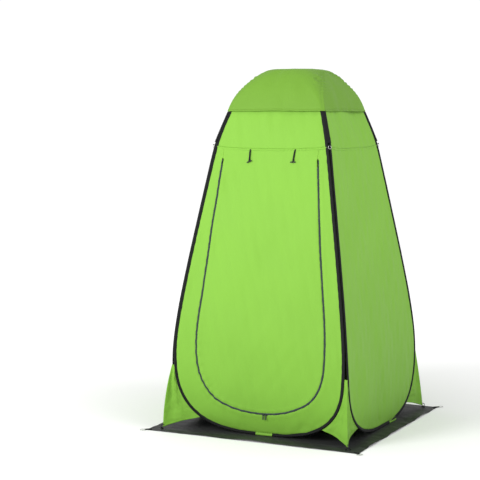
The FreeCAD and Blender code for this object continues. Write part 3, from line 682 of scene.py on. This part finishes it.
def door_cloth():
    """Cloth inside the zip, and the strip above it up to the seam."""
    line = outward(ZIP_HALF, -ZIP_EDGE)
    line = line[line[:, 1] <= ZIP_TOP]
    rows = [line[np.argmax(line[:, 0] > 0.018)]]
    for point in resample(line, 0.007):
        if point[1] - rows[-1][1] >= 0.0010:
            rows.append(point)
    rows = closed_above(np.array(rows))
    share = np.linspace(-1.0, 1.0, 101)[None, :]
    x = rows[:, :1] * share
    z = rows[:, 1:] + 0.0 * share
    grid, area = wall_grids("front", x / hoop_x(z), x, z)
    obj = cloth_sheet("door_cloth", grid, CLOTH, MAT["wall"], None)
    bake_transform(obj)
    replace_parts(obj, "door_panel")


door_cloth()


def seam_strip(side):
    """Folded seam between the wall and the band, sewn down below."""
    share = np.linspace(-1.0, 1.0, 260)
    half = float(hoop_x(SEAM_Z))
    x = share * half
    z = seam_height(share)
    centre = on_wall(side, x, z)
    run = unit(np.gradient(centre, axis=0))
    out = quarter(wall_normal(z, side), SIDES[side])
    down = unit(np.cross(run, out))
    wobble = 0.0003 * np.sin(x * 2 * math.pi / 0.011) + 0.0002 * waves(x, x, 0.02, 5)
    section = np.array([(0.0010, 0.0003), (0.0004, 0.0016), (-0.0012, 0.0016), (-0.0040, 0.0013),
                        (-0.0080, 0.0012), (-0.0086, 0.0002), (-0.0040, -0.0003)])
    section = np.broadcast_to(section, (len(x),) + section.shape).copy()
    section[:, 1:5, 1] += np.abs(wobble)[:, None]
    return sweep("seam_" + side, centre, -down, out, section, MAT["wall"], "tent")


for side in SIDES:
    seam_strip(side)


# --- bindings
def hoop_line(side):
    """Closed centre line of a hoop, with its inward and outward directions."""
    ring = resample(np.vstack([RING, RING[:1]]), 0.009)[:-1]
    centre = on_wall(side, ring[:, 0], ring[:, 1], wrinkled=False)
    run = unit(np.roll(centre, -1, axis=0) - np.roll(centre, 1, axis=0))
    up = quarter(wall_normal(ring[:, 1], side), SIDES[side])
    inward = unit(np.cross(up, run))
    return ring, centre, inward, up


def sleeve(side):
    """Binding folded round the hoop: a bead over the wire, and two edges sewn to the cloth."""
    ring, centre, inward, up = hoop_line(side)
    bead = 0.0049
    section = []
    for degrees in range(40, 321, 20):
        t = math.radians(degrees)
        section.append((bead * math.cos(t), bead * math.sin(t)))
    tail = [(0.0060, -0.0017), (0.0112, -0.0013), (0.0124, -0.0004), (0.0124, 0.0004),
            (0.0112, 0.0013), (0.0060, 0.0017)]
    section = np.array(section + tail)
    s = np.arange(len(ring)) * 0.009
    many = np.broadcast_to(section, (len(ring),) + section.shape).copy()
    gather = 1.0 + 0.05 * waves(s, 0.0 * s, 0.05, 31 + SIDES[side])
    many[:, -5:-1, 0] *= gather[:, None]
    many[:, :-6, :] *= (1.0 + 0.025 * waves(s, 0.0 * s, 0.03, 41 + SIDES[side]))[:, None, None]
    obj = sweep("sleeve_" + side, centre, inward, up, many, MAT["binding"], "tent",
                closed=True)
    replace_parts(obj, "hoop_sleeve_" + side)


for side in SIDES:
    sleeve(side)


# --- zip
def zip_tape(name, sign, body):
    """Half of the zip: a tape and its ribbed coil, along the whole U."""
    line = resample(ZIP_HALF, 0.0022)
    line = np.vstack([line[:0:-1] * np.array([-1.0, 1.0]), line])
    if body == "door":
        line = line[line[:, 1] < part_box("zip_tape_door")[1].z]
    else:
        line = line[line[:, 1] < ZIP_TOP]
    centre = on_wall("front", line[:, 0], line[:, 1])
    up = wall_normal(line[:, 1], "front")
    run = unit(np.gradient(centre, axis=0))
    side_way = unit(np.cross(run, up)) * sign
    count = len(line)
    rib = np.where(np.arange(count) % 2 == 0, 0.00035, -0.00025)
    section = np.array([(0.0003, -0.0012), (0.0056, -0.0006), (0.0056, 0.0007), (0.0030, 0.0009),
                        (0.0027, 0.0014), (0.0018, 0.0022), (0.0008, 0.0018), (0.0003, 0.0009)])
    section = np.broadcast_to(section, (count,) + section.shape).copy()
    section[:, 4:7, 1] += rib[:, None]
    if sign < 0:
        section = section[:, ::-1]
    return sweep(name, centre, side_way, up, section, MAT["tape"], body)


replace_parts(zip_tape("zip_half_tent", 1.0, "tent"), "zip_tape_wall")
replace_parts(zip_tape("zip_half_door", -1.0, "door"), "zip_tape_door")


# --- cap
def square_ring(half, radius, count=72, bend=24):
    """A rounded square seen from above: its points, and each one's angle."""
    flat = half - radius
    points = []
    for turn in range(4):
        c, s = math.cos(turn * math.pi / 2.0), math.sin(turn * math.pi / 2.0)
        local = [(half, flat * t) for t in np.linspace(-1.0, 1.0, count, endpoint=False)]
        for a in np.linspace(0.0, math.pi / 2.0, bend, endpoint=False):
            local.append((flat + radius * math.cos(a), flat + radius * math.sin(a)))
        points += [(x * c - y * s, x * s + y * c) for x, y in local]
    return np.array(points)


# Heights of the cap's wrinkles.
CAP_SLACK, CAP_SEAM, SEAM_VALLEY, CAP_PINCH, CAP_CRUSH = 0.0018, 0.0014, 0.0012, 0.0019, 0.0032
HEM_RIPPLE, HEM_STITCH, FACE_HOLLOW = 0.0012, 0.0011, 0.0040


def cap_grid():
    """The rain cap from its hem up and over to the middle of its crown."""
    profile = resample(chaikin(CAP_SECTIONS, 3), 0.0045)
    rows = []
    for depth, half, radius in profile:
        ring = square_ring(half - CLOTH, radius)
        rows.append(np.concatenate([ring, np.full((len(ring), 1), CAP_TOP - depth)], axis=1))
    grid = np.array(rows)
    n = grid_normals(grid, wrap=True)
    height = grid[..., 2]
    hem = (height - height[0, 0])
    angle = np.arctan2(grid[..., 1], grid[..., 0])
    arch = np.arctan2(hoop_x(height), half_width(height))
    past = np.arctan2(np.abs(grid[..., 1]), np.abs(grid[..., 0])) - arch
    off_corner = np.abs(past)
    top = CAP_TOP - height
    free = smooth(0.0, 0.02, top)
    face = np.abs(angle * 2.0 / math.pi - np.round(angle * 2.0 / math.pi))
    out = CAP_SLACK * waves(angle * 0.26, height, 0.11, 51) * free
    out += CAP_SEAM * np.exp(-(off_corner / 0.014) ** 2) * free
    out -= SEAM_VALLEY * np.exp(-((off_corner - 0.035) / 0.018) ** 2) * free
    pinch = np.exp(-((top - 0.075) / 0.055) ** 2) * np.exp(-(off_corner / 0.15) ** 2)
    out += CAP_PINCH * pinch * np.sin(2.0 * math.pi * height / 0.0155 + 9.0 * off_corner)
    crush = np.exp(-((past - 0.16) / 0.13) ** 2) * np.exp(-((top - 0.045) / 0.032) ** 2)
    out += CAP_CRUSH * crush * waves(grid[..., 0] * 1.4, height, 0.022, 57)
    out += HEM_RIPPLE * np.exp(-hem / 0.03) * np.sin(angle * 23.0 + 2.0 * np.sin(angle * 5.0))
    out -= HEM_STITCH * np.exp(-((hem - 0.011) / 0.003) ** 2)
    out -= FACE_HOLLOW * np.exp(-hem / 0.10) * smooth(0.5, 0.0, face)
    grid = grid + n * out[..., None]
    grid[..., 2] += 0.0035 * np.exp(-hem / 0.05) * smooth(0.45, 0.0, face)
    crown = [grid[-1] + (grid[-1].mean(axis=0) - grid[-1]) * t
             for t in (0.12, 0.25, 0.38, 0.5, 0.62, 0.74, 0.86, 0.95, 0.998)]
    crown = np.array(crown)
    crown[..., 2] -= 0.002 * np.linspace(0.0, 1.0, len(crown))[:, None] ** 0.7
    crown[..., 2] += 0.0007 * waves(crown[..., 0], crown[..., 1], 0.08, 55)
    return np.concatenate([grid, crown], axis=0)


CAP = cap_grid()
cap = cloth_sheet("cap_cloth", CAP, 0.0009, MAT["cap"], "cap", wrap=True)
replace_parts(cap, "rain_cap")


def cap_hem():
    """Turned-up hem, a second thickness inside the edge."""
    edge = CAP[:4].mean(axis=0)
    run = unit(np.roll(edge, -1, axis=0) - np.roll(edge, 1, axis=0))
    up = unit(CAP[4] - CAP[0])
    out = unit(np.cross(run, up))
    section = [(-0.0005, -0.0072), (0.0007, -0.0072), (0.0009, -0.0040), (0.0008, 0.0035),
               (-0.0005, 0.0040)]
    return sweep("cap_hem", edge, out, up, section, MAT["cap"], "cap", closed=True)


cap_hem()


# --- roof
def arch_points(side, count):
    arch = HALF[HALF[:, 1] > ARCH_START + 0.001]
    span = np.vstack([arch, arch[-2::-1] * np.array([-1.0, 1.0])])
    span = at_shares(span, np.linspace(0.0, 1.0, count))
    return on_wall(side, span[:, 0], span[:, 1], -0.003, wrinkled=False)


def roof():
    """Mesh vent stretched between the four arches."""
    count = 41
    front, back = arch_points("front", count)[::-1], arch_points("back", count)
    left, right = arch_points("left", count), arch_points("right", count)[::-1]
    base = front[0, 2]
    rise = front[:, 2].max() - base
    corner = [front[0], front[-1], back[0], back[-1]]
    u = np.linspace(0.0, 1.0, count)[:, None, None]
    v = np.linspace(0.0, 1.0, count)[None, :, None]
    across = left[None] * (1 - u) + right[None] * u
    along = front[:, None] * (1 - v) + back[:, None] * v
    ends = ((corner[0] * (1 - v) + corner[2] * v) * (1 - u)
            + (corner[1] * (1 - v) + corner[3] * v) * u)
    grid = across + along - ends
    low = ((1 - (front[:, 2] - base) / rise)[:, None] * (1 - (left[:, 2] - base) / rise)[None])
    grid[..., 2] = base + rise * (1 - low)
    grid[..., 2] -= 0.004 * (1 - (2 * u[..., 0] - 1) ** 2) * (1 - (2 * v[..., 0] - 1) ** 2)
    obj = cloth_sheet("roof_vent", grid, 0.0008, MAT["mesh"], "tent")
    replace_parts(obj, "roof_mesh")


roof()


# --- corner gussets
def mirrored(points, corner):
    sx, sy = CORNERS[corner]
    return np.asarray(points, float) * np.array([sx, -sy, 1.0])


def gusset(corner):
    """Cloth between two hoops at a corner, drawn out to a tip and creased down the middle."""
    rows, half_columns = 70, 26
    edge = HALF[(HALF[:, 0] > 0.345) & (HALF[:, 1] < GUSSET_TOP)]
    edge = resample(outward(edge, 0.0035), 0.004)
    x, z = at_shares(edge, np.linspace(0.0, 1.0, rows) ** 0.95).T
    front = np.stack([x, -half_width(z, "front"), z], axis=1)
    side = np.stack([half_width(z, "right"), -x, z], axis=1)
    top = np.array([side[-1, 0], front[-1, 1], z[-1]])
    tip = np.array([TIP[0], -TIP[1], TIP[2]])
    t = np.linspace(0.0, 1.0, rows)
    bow = np.array([1.0, -1.0, 0.0]) / ROOT2 * (0.011 if corner == "fl" else 0.003)
    crease = tip + (top - tip) * t[:, None] + bow * (4.0 * t * (1.0 - t))[:, None]
    share = np.linspace(0.0, 1.0, half_columns)[None, :, None]
    one = front[:, None] * (1 - share) + crease[:, None] * share
    two = crease[:, None] * (1 - share) + side[:, None] * share
    grid = np.concatenate([one, two[:, 1:]], axis=1)
    seed = {"fr": 3, "fl": 5, "br": 7, "bl": 9}[corner]
    k = np.linspace(-1.0, 1.0, grid.shape[1])[None, :]
    rise = t[:, None]
    free = np.abs(k) ** 0.6 * smooth(1.0, 0.85, np.abs(k)) * smooth(1.0, 0.75, rise)
    flute = np.sin((1.0 - np.abs(k)) * 9.0 + 3.0 * rise + seed + 2.0 * np.sign(k))
    strength = 0.0055 if corner == "fl" else 0.0035
    out = strength * flute * free
    out += 0.0030 * waves(k * 0.22, rise * 0.5, 0.16, seed) * free
    out += 0.0014 * waves(k * 0.22, rise * 0.45, 0.05, seed + 1) * free
    belly = np.sin(np.clip(1.0 - np.abs(k), 0, 1) * math.pi) * smooth(1.0, 0.2, rise)
    out -= 0.013 * belly
    grid = grid + grid_normals(grid) * out[..., None]
    hem = smooth(0.06, 0.0, rise) * np.sin(np.clip(np.abs(k), 0, 1) * math.pi)
    grid[..., 2] += 0.006 * hem
    grid[..., 2] = np.maximum(grid[..., 2], 0.008)
    flat = grid.copy()
    if CORNERS[corner][0] * CORNERS[corner][1] > 0:
        grid = grid[:, ::-1]
    grid = mirrored(grid, corner)
    obj = cloth_sheet("gusset_cloth_" + corner, grid, CLOTH, MAT["wall"], "tent")
    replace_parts(obj, "gusset_" + corner)
    hem_line = mirrored(flat[0], corner)
    up = unit(mirrored(flat[2] - flat[0], corner))
    run = unit(np.gradient(hem_line, axis=0))
    out_way = unit(np.cross(run, up))
    section = [(-0.0010, -0.0010), (0.0010, -0.0010), (0.0012, 0.0060), (0.0, 0.0075),
               (-0.0012, 0.0060)]
    sweep("gusset_hem_" + corner, hem_line, out_way, up, section, MAT["wall"], "tent")


for corner in CORNERS:
    gusset(corner)


# --- groundsheet
def groundsheet():
    columns, rows = 241, 237
    u = np.linspace(-1.0, 1.0, columns)[None, :]
    v = np.linspace(-1.0, 1.0, rows)[:, None]
    x = u * SHEET_X / 2.0 + 0.0 * v
    y = v * SHEET_Y / 2.0 + 0.0 * u
    rim = np.minimum(SHEET_X / 2.0 - np.abs(x), SHEET_Y / 2.0 - np.abs(y))
    loose = smooth(0.13, 0.0, rim)
    z = 0.0025 * loose * (1.0 + waves(x, y, 0.17, 61))
    z += 0.0007 * (1.0 + waves(x, y, 0.05, 62)) * smooth(0.16, 0.08, rim)
    right = smooth(0.50, 0.602, x)
    z += 0.0055 * right * (0.5 + 0.5 * np.sin(2 * math.pi * (y + 0.12) / 0.34)) ** 2
    left_fold = np.exp(-((x + y * 0.35 + 0.735) / 0.012) ** 2) * smooth(-0.2, -0.45, y)
    z += 0.004 * left_fold * loose
    z = np.minimum(z, 0.009)
    z *= smooth(0.02, 0.15, np.hypot(SHEET_X / 2.0 - np.abs(x), SHEET_Y / 2.0 - np.abs(y)))
    z += 0.0009 * smooth(0.0125, 0.0115, rim) - 0.0005 * np.exp(-((rim - 0.0085) / 0.0012) ** 2)
    sway = 0.0022 * np.sin(2 * math.pi * y / 0.33 + 0.8) * smooth(0.4, 0.6, x)
    x = x - np.abs(sway)
    y = y + 0.0016 * np.sin(2 * math.pi * x / 0.41) * smooth(0.45, 0.59, np.abs(y)) * -np.sign(y)
    grid = np.stack([x, y, z + 0.0006], axis=-1)
    obj = cloth_sheet("groundsheet_cloth", grid, 0.0010, MAT["groundsheet"], "groundsheet")
    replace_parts(obj, "ground_sheet")


groundsheet()


# --- straps, ties and tabs
def diagonal(out, across, z):
    return ((out + across) / ROOT2, (-out + across) / ROOT2, z)


def corner_reach(z):
    """How far out along the diagonal the two hoops of a corner reach."""
    return (float(half_width(z)) - HOOP_INSET / 2.0) * ROOT2 + 0.0055


def centre_of(node):
    low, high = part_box(node)
    return np.array((low + high) / 2.0)


def lathe(name, start, end, profile, material, body, count=20):
    """A turned piece: (share of the length, radius) pairs round the line from start to end."""
    start, end = np.array(start, float), np.array(end, float)
    line = start + (end - start) * np.array([p[0] for p in profile])[:, None]
    run = np.tile(unit(end - start), (len(line), 1))
    helper = np.array([0.0, 0.0, 1.0]) if abs(run[0, 2]) < 0.9 else np.array([1.0, 0.0, 0.0])
    right = unit(np.cross(run, helper))
    up = np.cross(right, run)
    angle = np.linspace(0.0, 2.0 * math.pi, count, endpoint=False)
    circle = np.stack([np.cos(angle), np.sin(angle)], axis=1)
    section = np.array([circle * p[1] for p in profile])
    return sweep(name, line, right, up, section, material, body)


TOGGLE_PROFILE = [(0.0, 0.0017), (0.02, 0.0026), (0.06, 0.0033), (0.14, 0.0035), (0.34, 0.0034),
                  (0.40, 0.0029), (0.44, 0.0022), (0.56, 0.0022), (0.60, 0.0029), (0.66, 0.0034),
                  (0.86, 0.0035), (0.94, 0.0033), (0.98, 0.0026), (1.0, 0.0017)]


def door_tie(name, top, foot, tilt):
    """Strap that ties the rolled door, with a toggle at its end."""
    body = "tie_" + name
    up_normal = wall_normal(np.array([1.44]), "front")[0]
    a = on_wall("front", top[0], top[1], 0.0018)
    b = on_wall("front", foot[0], foot[1], 0.0052)
    middle = (a + b) / 2.0 + up_normal * 0.0016
    strap = ribbon("tie_webbing_" + name, [a, middle, b], up_normal, 0.0085, 0.0013,
                   MAT["webbing"], body)
    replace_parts(strap, "tie_strap_" + name)
    reach = np.array([math.cos(tilt), 0.0, math.sin(tilt)]) * 0.015
    toggle = lathe("toggle_" + name, b - reach, b + reach, TOGGLE_PROFILE, MAT["plastic"], body)
    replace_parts(toggle, "tie_toggle_" + name)
    angle = np.linspace(0.0, 2.0 * math.pi, 17)
    across = unit(reach)
    down = np.cross(across, up_normal)
    loop = b + 0.0031 * (np.cos(angle)[:, None] * up_normal + np.sin(angle)[:, None] * down)
    ring_up = unit(loop - b)
    sweep("tie_loop_" + name, loop[:-1], np.tile(across, (16, 1)), ring_up[:-1],
          [(-0.0020, -0.0006), (0.0020, -0.0006), (0.0020, 0.0006), (-0.0020, 0.0006)],
          MAT["webbing"], body, closed=True)


door_tie("left", (-0.117, 1.472), (-0.1175, 1.409), math.radians(22.0))
door_tie("right", (0.140, 1.474), (0.133, 1.409), math.radians(1.0))


def cap_strap(corner):
    """Strap from the cap's corner to the hoops, with a wider tab at its end."""
    body = "strap_" + corner
    hem = CAP_TOP - CAP_SECTIONS[0][0]
    out_hem = (CAP_SECTIONS[0][1] - CAP_SECTIONS[0][2]) * ROOT2 + CAP_SECTIONS[0][2]
    top = diagonal(out_hem - 0.0006, 0.0, hem - 0.002)
    foot = diagonal(corner_reach(1.508) + 0.0024, 0.0, 1.508)
    top, foot = np.array(top), np.array(foot)
    out = unit(np.cross(np.array([1.0, 1.0, 0.0]), foot - top))
    if out[0] < 0:
        out = -out
    middle = (top + foot) / 2.0 + out * 0.0012
    line = mirrored([top, middle, foot], corner)
    face_out = mirrored([out], corner)[0]
    strap = ribbon("cap_webbing_" + corner, line, face_out, 0.0200, 0.0014, MAT["webbing"], body,
                   widths=[(0.0, 0.75), (1.0, 1.1)])
    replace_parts(strap, "cap_strap_" + corner)
    tab_line = [foot + (top - foot) * s - out * 0.0013 for s in (0.20, 0.10, 0.0)]
    tab = ribbon("strap_pad_" + corner, mirrored(tab_line, corner), face_out, 0.0240, 0.0017,
                 MAT["webbing"], body, widths=[(0.0, 0.8), (0.1, 1.0), (0.9, 1.0),
                                                         (1.0, 0.8)])
    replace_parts(tab, "strap_tab_" + corner)


for corner in CORNERS:
    cap_strap(corner)


def loop_piece(name, corner, axis, radius, width, tail, body, up_way):
    """Webbing folded round a ring and sewn back along itself."""
    turn = np.linspace(math.radians(-150.0), math.radians(150.0), 22)
    out_way = np.array([1.0, -1.0, 0.0]) / ROOT2
    up_way = np.array(up_way, float)
    loop = [axis + radius * (math.cos(a) * out_way + math.sin(a) * up_way) for a in turn]
    line = [np.array(tail)] + loop + [np.array(tail) + up_way * 0.0012]
    line = mirrored(line, corner)
    line = resample(chaikin(line, 2), 0.0012)
    across = mirrored([[1.0, 1.0, 0.0]], corner)[0]
    across = np.tile(unit(across), (len(line), 1))
    run = unit(np.gradient(line, axis=0))
    up = unit(np.cross(across, run))
    return sweep(name, line, across, up, rounded_strip(width, 0.0011), MAT["webbing"], body)


def guy_tab(corner):
    axis = centre_of("guy_ring_" + corner)
    axis[2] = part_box("guy_ring_" + corner)[1].z - 0.0012
    axis = mirrored([axis], corner)[0]
    start = diagonal(corner_reach(axis[2]) - 0.006, 0.0, axis[2] - 0.0006)
    return loop_piece("guy_loop_" + corner, corner, axis, 0.0024, 0.0060, start, "tent", (0, 0, 1))


def sheet_tab(corner):
    middle = mirrored([centre_of("sheet_ring_" + corner)], corner)[0]
    axis = middle - np.array([1.0, -1.0, 0.0]) / ROOT2 * 0.0135
    start = np.array([SHEET_X / 2.0, -SHEET_Y / 2.0, 0.0022]) - np.array([1, -1, 0]) / ROOT2 * 0.028
    loop = loop_piece("sheet_loop_" + corner, corner, axis, 0.0027, 0.0085, start, "groundsheet",
                      (0, 0, 1))
    patch_line = [start + np.array([1, -1, 0]) / ROOT2 * d + np.array([0, 0, 0.0012])
                  for d in (-0.002, 0.012, 0.026)]
    pad = ribbon("sheet_pad_" + corner, mirrored(patch_line, corner), (0, 0, 1), 0.024, 0.0016,
                 MAT["webbing"], "groundsheet")
    return loop, pad


guy_loops = [guy_tab(corner) for corner in CORNERS]
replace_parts(join("guy_loops", guy_loops, "tent"), "guy_tabs")
sheet_loops = [piece for corner in CORNERS for piece in sheet_tab(corner)]
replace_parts(join("sheet_loops", sheet_loops, "groundsheet"), "sheet_tabs")


def hook_bar(corner):
    """Webbing arch that stands on the groundsheet under a hook."""
    out = (TIP[0] + TIP[1]) / ROOT2 + 0.004
    across = (TIP[0] - TIP[1]) / ROOT2
    route = [(-0.0155, 0.0016), (-0.0120, 0.0030), (-0.0105, 0.0095), (-0.004, 0.0118),
             (0.004, 0.0118), (0.0105, 0.0095), (0.0120, 0.0030), (0.0155, 0.0016)]
    line = np.array([diagonal(out, across + s, z) for s, z in route])
    line = resample(chaikin(mirrored(line, corner), 3), 0.0015)
    wide = mirrored([[1.0, -1.0, 0.0]], corner)[0]
    right = np.tile(unit(wide), (len(line), 1))
    up = unit(np.cross(right, unit(np.gradient(line, axis=0))))
    return sweep("hook_bar_" + corner, line, right, up, rounded_strip(0.006, 0.0022),
                 MAT["webbing"], "groundsheet")


bars = [hook_bar(corner) for corner in CORNERS]
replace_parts(join("hook_loops", bars, "groundsheet"), "hook_bars")


def sleeve_patch(side):
    """Cloth patch folded over the binding where the hoop's ends join."""
    start = {"front": -0.028, "back": -0.028, "right": 0.088, "left": 0.088}[side]
    length = 0.095
    flap = [(h, 0.0012) for h in (0.026, 0.022, 0.018)]
    round_bead = [(0.0078 + 0.0058 * math.cos(a), 0.0060 * math.sin(a))
                  for a in np.radians(np.linspace(20.0, 185.0, 14))]
    x = np.linspace(start, start + length, 40)
    grid = []
    for z, out in flap + round_bead:
        wave = 0.0004 * np.sin(2 * math.pi * x / 0.013 + z * 200.0) * (1.0 if z > 0.017 else 0.4)
        grid.append(on_wall(side, x, np.full(len(x), z), out + wave, wrinkled=False))
    grid = np.array(grid)[::-1]
    return cloth_sheet("patch_" + side, grid, 0.0006, MAT["patch"], "tent")


patches = [sleeve_patch(side) for side in SIDES]
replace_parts(join("sleeve_patches_cloth", patches, "tent"), "sleeve_patches")


# --- CAD pieces that stay
KEPT = {"hoop_wire_": "steel", "hoop_ferrules": "steel", "zip_slider_": "slider",
        "zip_pull_": "slider", "guy_ring_": "ring", "sheet_ring_": "ring",
        "gusset_hooks": "plastic"}
for node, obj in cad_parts.items():
    for start, material in KEPT.items():
        if node.startswith(start):
            obj.data.materials.clear()
            obj.data.materials.append(MAT[material])


# --- stage, light and camera
def stage_floor():
    mesh = bpy.data.meshes.new("floor")
    size = 30.0
    mesh.from_pydata([(-size, -size, -0.0004), (size, -size, -0.0004), (size, size, -0.0004),
                      (-size, size, -0.0004)], [], [(0, 1, 2, 3)])
    floor = bpy.data.objects.new("floor", mesh)
    bpy.context.scene.collection.objects.link(floor)
    material, nodes, links, shader = tree("floor_paper")
    place = nodes.new("ShaderNodeTexCoord").outputs["Object"]
    speckle = noise_node(nodes, links, place, 60.0, 4.0)
    links.new(blend_colour(nodes, links, speckle, (0.91, 0.91, 0.91), (0.95, 0.95, 0.95)),
              shader.inputs["Base Color"])
    shader.inputs["Roughness"].default_value = 0.9
    shader.inputs["Specular IOR Level"].default_value = 0.1
    shader.inputs["Emission Color"].default_value = (1.0, 1.0, 1.0, 1.0)
    away = nodes.new("ShaderNodeVectorMath")
    away.operation = "LENGTH"
    links.new(place, away.inputs[0])
    # Painted light: the floor glows, weakly near the tent and more strongly further out.
    glow = ramp_node(nodes, links, away.outputs["Value"], 0.8, 3.2, 0.10, 0.50)
    links.new(glow, shader.inputs["Emission Strength"])
    mesh.materials.append(material)


def area_light(name, place, aim, size, power):
    light = bpy.data.lights.new(name, "AREA")
    light.shape = "DISK"
    light.size = size
    light.energy = power
    obj = bpy.data.objects.new(name, light)
    obj.location = place
    obj.rotation_euler = (Vector(aim) - Vector(place)).to_track_quat("-Z", "Y").to_euler()
    bpy.context.scene.collection.objects.link(obj)
    return obj


stage_floor()
area_light("key", (-2.4, -4.7, 3.3), (0.0, -0.2, 1.2), 2.6, 190.0)
area_light("fill", (2.9, -0.4, 4.9), (0.0, 0.0, 1.4), 2.6, 62.0)

world = bpy.data.worlds.new("studio")
world.use_nodes = True
backdrop = world.node_tree.nodes["Background"]
backdrop.inputs["Color"].default_value = (1.0, 1.0, 1.0, 1.0)
seen = world.node_tree.nodes.new("ShaderNodeLightPath").outputs["Is Camera Ray"]
strength = world.node_tree.nodes.new("ShaderNodeMath")
strength.operation = "MULTIPLY_ADD"
strength.inputs[1].default_value = 0.44
strength.inputs[2].default_value = 0.60
world.node_tree.links.new(seen, strength.inputs[0])
world.node_tree.links.new(strength.outputs[0], backdrop.inputs["Strength"])
bpy.context.scene.world = world
bpy.context.scene.view_settings.view_transform = "Standard"

camera_data = bpy.data.cameras.new("camera")
camera_data.lens = 101.05
camera_data.sensor_width = 36.0
camera_data.shift_x = -0.09375
camera_data.shift_y = 0.03125
camera = bpy.data.objects.new("camera", camera_data)
camera.location = (3.0462, -6.5643, 1.6344)
camera.rotation_euler = (math.radians(90.0 - 5.820), 0.0, math.radians(25.433))
bpy.context.scene.collection.objects.link(camera)
bpy.context.scene.camera = camera
